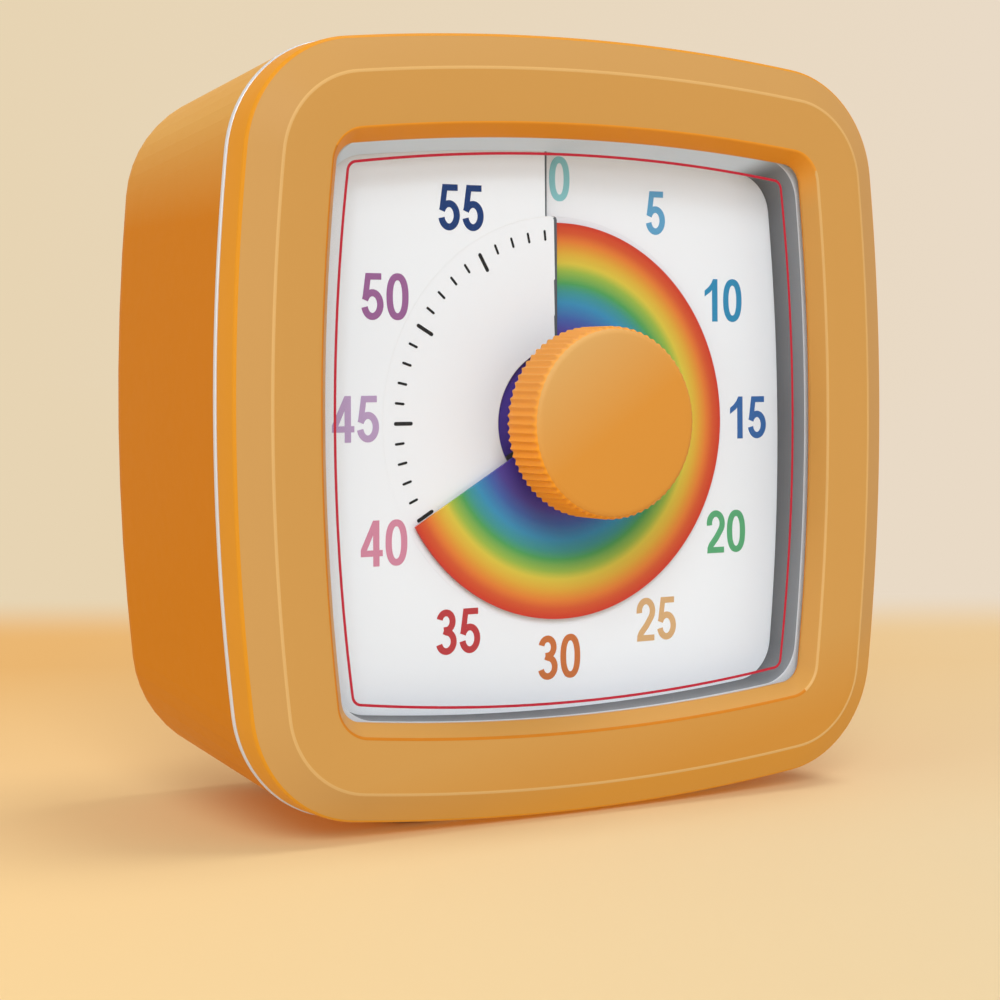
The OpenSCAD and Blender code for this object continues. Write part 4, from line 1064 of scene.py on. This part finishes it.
def united(mesh):
    """The points and faces of a mesh with its overlapping plates made one.

    The union needs a second object, a small cube far off that is cut away again.
    """
    plate = bpy.data.objects.new("digit", mesh)
    bpy.context.scene.collection.objects.link(plate)
    far = bpy.data.objects.new("far", bpy.data.meshes.new("far"))
    bpy.context.scene.collection.objects.link(far)
    corner = bmesh.new()
    bmesh.ops.create_cube(corner, size=0.1, matrix=Matrix.Translation((9, 9, 0)))
    corner.to_mesh(far.data)
    corner.free()
    union = plate.modifiers.new("union", "BOOLEAN")
    union.operation = "UNION"
    union.solver = "EXACT"
    union.use_self = True
    union.object = far
    depsgraph = bpy.context.evaluated_depsgraph_get()
    done = bpy.data.meshes.new_from_object(plate.evaluated_get(depsgraph))
    for used in (plate, far):
        bpy.data.objects.remove(used)
    clean = bmesh.new()
    clean.from_mesh(done)
    bmesh.ops.delete(clean, geom=[v for v in clean.verts if v.co.x > 5], context="VERTS")
    bmesh.ops.triangulate(clean, faces=clean.faces)
    points = [v.co.copy() for v in clean.verts]
    faces = [tuple(v.index for v in f.verts) for f in clean.faces]
    clean.free()
    return points, faces


DIGIT_MESHES = {digit: united(flat_plates(shapes)) for digit, shapes in DIGITS.items()}
DIGIT_WIDTHS = {"0": 0.54, "1": 0.49, "2": 0.52, "3": 0.53, "4": 0.53, "5": 0.53}
DIGIT_GAP = 0.065


def numeral(minutes, x, y):
    """A number printed on the card with its middle at x and y."""
    text = str(minutes)
    width = sum(DIGIT_WIDTHS[c] for c in text) + DIGIT_GAP * (len(text) - 1)
    points, faces = [], []
    left = -width / 2
    for character in text:
        digit_points, digit_faces = DIGIT_MESHES[character]
        start = len(points)
        for p in digit_points:
            px = x + (left + p.x) * DIGIT_HEIGHT * DIGIT_SCALE
            py = y + (p.y - 0.5) * DIGIT_HEIGHT
            points.append(on_card(px, py, INK if p.z > 0.5 else -INK))
        faces += [tuple(start + i for i in f) for f in digit_faces]
        left += DIGIT_WIDTHS[character] + DIGIT_GAP
    name = f"numeral_{minutes:02d}"
    looks = [ink(name, srgb(*NUMERAL_COLOURS[minutes]), uneven=0.02)]
    mesh_piece(name, points, faces, "case", "card", looks)


NUMERAL_RING = (26.7, 27.1)     # half the width and height of the ring of numerals
NUMERAL_MIDDLE = (0.3, 0.9)
NUMERAL_TURN = 0.6      # degrees clockwise
NUMERAL_NUDGES = {      # how far each is printed off that ring
    5: (-0.1, 0.3), 10: (-0.15, 0.3), 20: (0.4, 0), 30: (-0.25, 0), 35: (-0.35, 0),
    40: (0, 0.2), 45: (0, 0.1), 50: (-0.05, -0.25), 55: (-0.4, -0.25),
}


def make_numerals():
    """The minutes, every fifth one, round the dial."""
    for minutes in NUMERAL_COLOURS:
        a = math.tau * minutes / 60 + math.radians(NUMERAL_TURN)
        aside, up = NUMERAL_NUDGES.get(minutes, (0, 0))
        numeral(
            minutes,
            NUMERAL_MIDDLE[0] + NUMERAL_RING[0] * math.sin(a) + aside,
            NUMERAL_MIDDLE[1] + NUMERAL_RING[1] * math.cos(a) + up,
        )


TICK_OUTER = 0.96       # shares of the disc's radius
TICK_INNER = (0.906, 0.856)     # of a minute's mark and of every fifth one
TICK_HALF = (0.14, 0.21)        # half the width of each
TICK_SHIFT = (-0.2, 0.1)        # of all of them, off the dial's axis
TICK_STEPS = 6          # of each rounded end


def make_ticks():
    """Minute marks under the disc, longer every fifth minute."""
    points, faces = [], []
    outer = TICK_OUTER * DISC_R
    for minute in range(1, 60):
        big = minute % 5 == 0
        inner = TICK_INNER[big] * DISC_R
        half = TICK_HALF[big]
        a = math.tau * minute / 60
        out = Vector((math.sin(a), math.cos(a)))
        side = Vector((math.cos(a), -math.sin(a)))
        path = []
        for end, way in ((outer - half, 1), (inner + half, -1)):
            for k in range(TICK_STEPS + 1):
                b = math.pi * k / TICK_STEPS
                across = side * way * half * math.cos(b)
                path.append(out * (end + way * half * math.sin(b)) + across)
        start = len(points)
        n = len(path)
        for lift in (INK, -INK):
            points += [
                on_card(p.x + TICK_SHIFT[0], p.y + RISE + TICK_SHIFT[1], lift) for p in path
            ]
        faces.append(tuple(range(start, start + n)))
        faces.append(tuple(range(start + 2 * n - 1, start + n - 1, -1)))
        for k in range(n):
            j = (k + 1) % n
            faces.append((start + k, start + n + k, start + n + j, start + j))
    looks = [ink("tick_ink", srgb(20, 20, 22))]
    mesh_piece("minute_ticks", points, faces, "case", "card", looks)


# ---------- build ----------

NODE_SLOTS = {row["node"]: row["material_slot"] for row in frame["record"]["subparts"]}
for node, thing in frame["nodes"].items():
    thing.data.materials.clear()
    thing.data.materials.append(MATERIALS[NODE_SLOTS[node]])

make_bezel()
make_trim()
make_card()
make_disc()
make_surround()
make_red_line()
make_knob()
make_numerals()
make_ticks()

# ---------- stage, light and camera ----------

CAMERA_YAW = 31.56      # degrees that it looks round to the right
CAMERA_PITCH = 3.246    # and down
CAMERA_ROLL = -0.335
CAMERA_LENS = 84.68
CAMERA_SENSOR = 36
CAMERA_AT = Vector((-145.41, -234.89, 50.24)) * MM
TURN = math.radians(CAMERA_YAW)
SIDEWAYS = Vector((math.cos(TURN), -math.sin(TURN), 0))
FORWARD = Vector((math.sin(TURN), math.cos(TURN), 0))

# Colours of the wall, by direction, and of the table, by metres to the side.
WALL = [(-0.2, srgb(231, 212, 179)), (0.2, srgb(233, 218, 198))]
TABLE_FAR = [(-0.08, srgb(220, 168, 99)), (0.08, srgb(221, 187, 137))]
TABLE_NEAR = [(-0.05, srgb(236, 200, 143)), (0.05, srgb(224, 199, 157))]
TABLE_RUN = (0.12, -0.03)           # metres behind the middle, from far to near
TABLE_END = (0.155, 0.24)           # where the table turns into the wall
TABLE_GRAIN = (400, 4)              # scale and detail
FLOOR_HALF = 6.0
FLOOR_GLOW = (1.0, 0.9, 0.76)       # glow that the table gives off for all rays but the camera's, lighting the part as if the table gave light back
FLOOR_GLOW_LEVEL = 0.84

# Light from all round, by how far behind the part it comes from.
WORLD_TINTS = [(-0.3, (0.94, 1.0, 1.06)), (0.5, (1.0, 0.96, 0.88))]
WORLD_LIGHT = 0.62

# Each lamp's place as seen from the part, strength, softness in degrees and colour.
LAMPS = {
    "key": ((-0.36, -0.70, 0.52), 1.6, 32, (0.84, 0.93, 1.0)),
    "side": ((-0.95, -0.16, 0.05), 0.85, 34, (0.94, 0.97, 1.0)),
    "top": ((0.26, -0.06, 0.80), 1.0, 24, (1.0, 0.99, 0.97)),
}


def make_camera():
    """The photo's own view."""
    data = bpy.data.cameras.new("camera")
    data.lens = CAMERA_LENS
    data.sensor_width = CAMERA_SENSOR
    data.clip_start = 0.01
    camera = bpy.data.objects.new("camera", data)
    turn = (
        Matrix.Rotation(math.radians(-CAMERA_YAW), 3, "Z")
        @ Matrix.Rotation(math.radians(90 - CAMERA_PITCH), 3, "X")
        @ Matrix.Rotation(math.radians(CAMERA_ROLL), 3, "Z")
    )
    camera.matrix_world = Matrix.Translation(CAMERA_AT) @ turn.to_4x4()
    bpy.context.scene.collection.objects.link(camera)
    bpy.context.scene.camera = camera


def seen_directly(tree):
    """One for rays that should see the backdrop as it is."""
    path = add_node(tree, "ShaderNodeLightPath")
    value = path.outputs["Is Camera Ray"]
    for output in ("Is Glossy Ray", "Is Transmission Ray"):
        value = computed(tree, "MAXIMUM", value, path.outputs[output])
    return value


def mix_shaders(tree, share, first, last):
    """A shader that goes from one to another by a share from 0 to 1."""
    node = add_node(tree, "ShaderNodeMixShader")
    for source, target in zip((share, first, last), node.inputs):
        feed(tree, source, target)
    return node.outputs["Shader"]


def make_floor():
    """A pale table top that turns into the pale wall's colour behind the part, and that glows to
    light the part.
    """
    mesh = bpy.data.meshes.new("floor")
    corners = [(x * FLOOR_HALF, y * FLOOR_HALF, 0) for x, y in ((-1, -1), (1, -1), (1, 1), (-1, 1))]
    mesh.from_pydata(corners, [], [(0, 1, 2, 3)])
    floor = bpy.data.objects.new("floor", mesh)
    bpy.context.scene.collection.objects.link(floor)
    m = Nodes("floor")
    away = dot(m.tree, m.place(), FORWARD)
    near = share_of(m.tree, away, *TABLE_RUN)
    colour = m.mixed(near, swept(m, SIDEWAYS, TABLE_FAR), swept(m, SIDEWAYS, TABLE_NEAR))
    m.shade(Base_Color=colour, Roughness=0.7, Specular_IOR_Level=DULL)
    m.bump(m.noise(*TABLE_GRAIN), 0.1, 0.00002)
    table = m.shader.outputs["BSDF"]
    unit = m.add("ShaderNodeVectorMath", operation="NORMALIZE", Vector=m.place())
    way = dot(m.tree, unit.outputs["Vector"], SIDEWAYS)
    wall = m.add("ShaderNodeEmission", Color=blend_ramp(m.tree, way, WALL))
    beyond = share_of(m.tree, away, *TABLE_END, smooth=True)
    backdrop = mix_shaders(m.tree, beyond, table, wall.outputs["Emission"])
    glow = m.add("ShaderNodeEmission", Color=(*FLOOR_GLOW, 1), Strength=FLOOR_GLOW_LEVEL)
    whole = mix_shaders(m.tree, seen_directly(m.tree), glow.outputs["Emission"], backdrop)
    feed(m.tree, whole, m.output.inputs["Surface"])
    mesh.materials.append(m.material)


def soft_light(name, place, strength, spread, colour):
    """Even light from one side, with shadows as soft as the spread in degrees."""
    data = bpy.data.lights.new(name, "SUN")
    data.energy = strength
    data.angle = math.radians(spread)
    data.color = colour
    lamp = bpy.data.objects.new(name, data)
    lamp.location = place
    lamp.rotation_mode = "QUATERNION"
    lamp.rotation_quaternion = (-Vector(place)).to_track_quat("-Z", "Y")
    bpy.context.scene.collection.objects.link(lamp)


def make_world():
    """Pale light from all round, and the wall's colour wherever the world is seen."""
    world = bpy.data.worlds.new("world")
    bpy.context.scene.world = world
    world.use_nodes = True
    tree = world.node_tree
    tree.nodes.clear()
    way = add_node(tree, "ShaderNodeTexCoord").outputs["Generated"]
    wall = blend_ramp(tree, dot(tree, way, SIDEWAYS), WALL)
    tint = blend_ramp(tree, dot(tree, way, FORWARD), WORLD_TINTS)
    seen = add_node(tree, "ShaderNodeBackground", Color=wall).outputs["Background"]
    lit = add_node(tree, "ShaderNodeBackground", Color=tint, Strength=WORLD_LIGHT)
    whole = mix_shaders(tree, seen_directly(tree), lit.outputs["Background"], seen)
    add_node(tree, "ShaderNodeOutputWorld", Surface=whole)


make_camera()
make_floor()
make_world()
for lamp_name, settings in LAMPS.items():
    soft_light(lamp_name, *settings)

bpy.context.scene.view_settings.view_transform = "Standard"
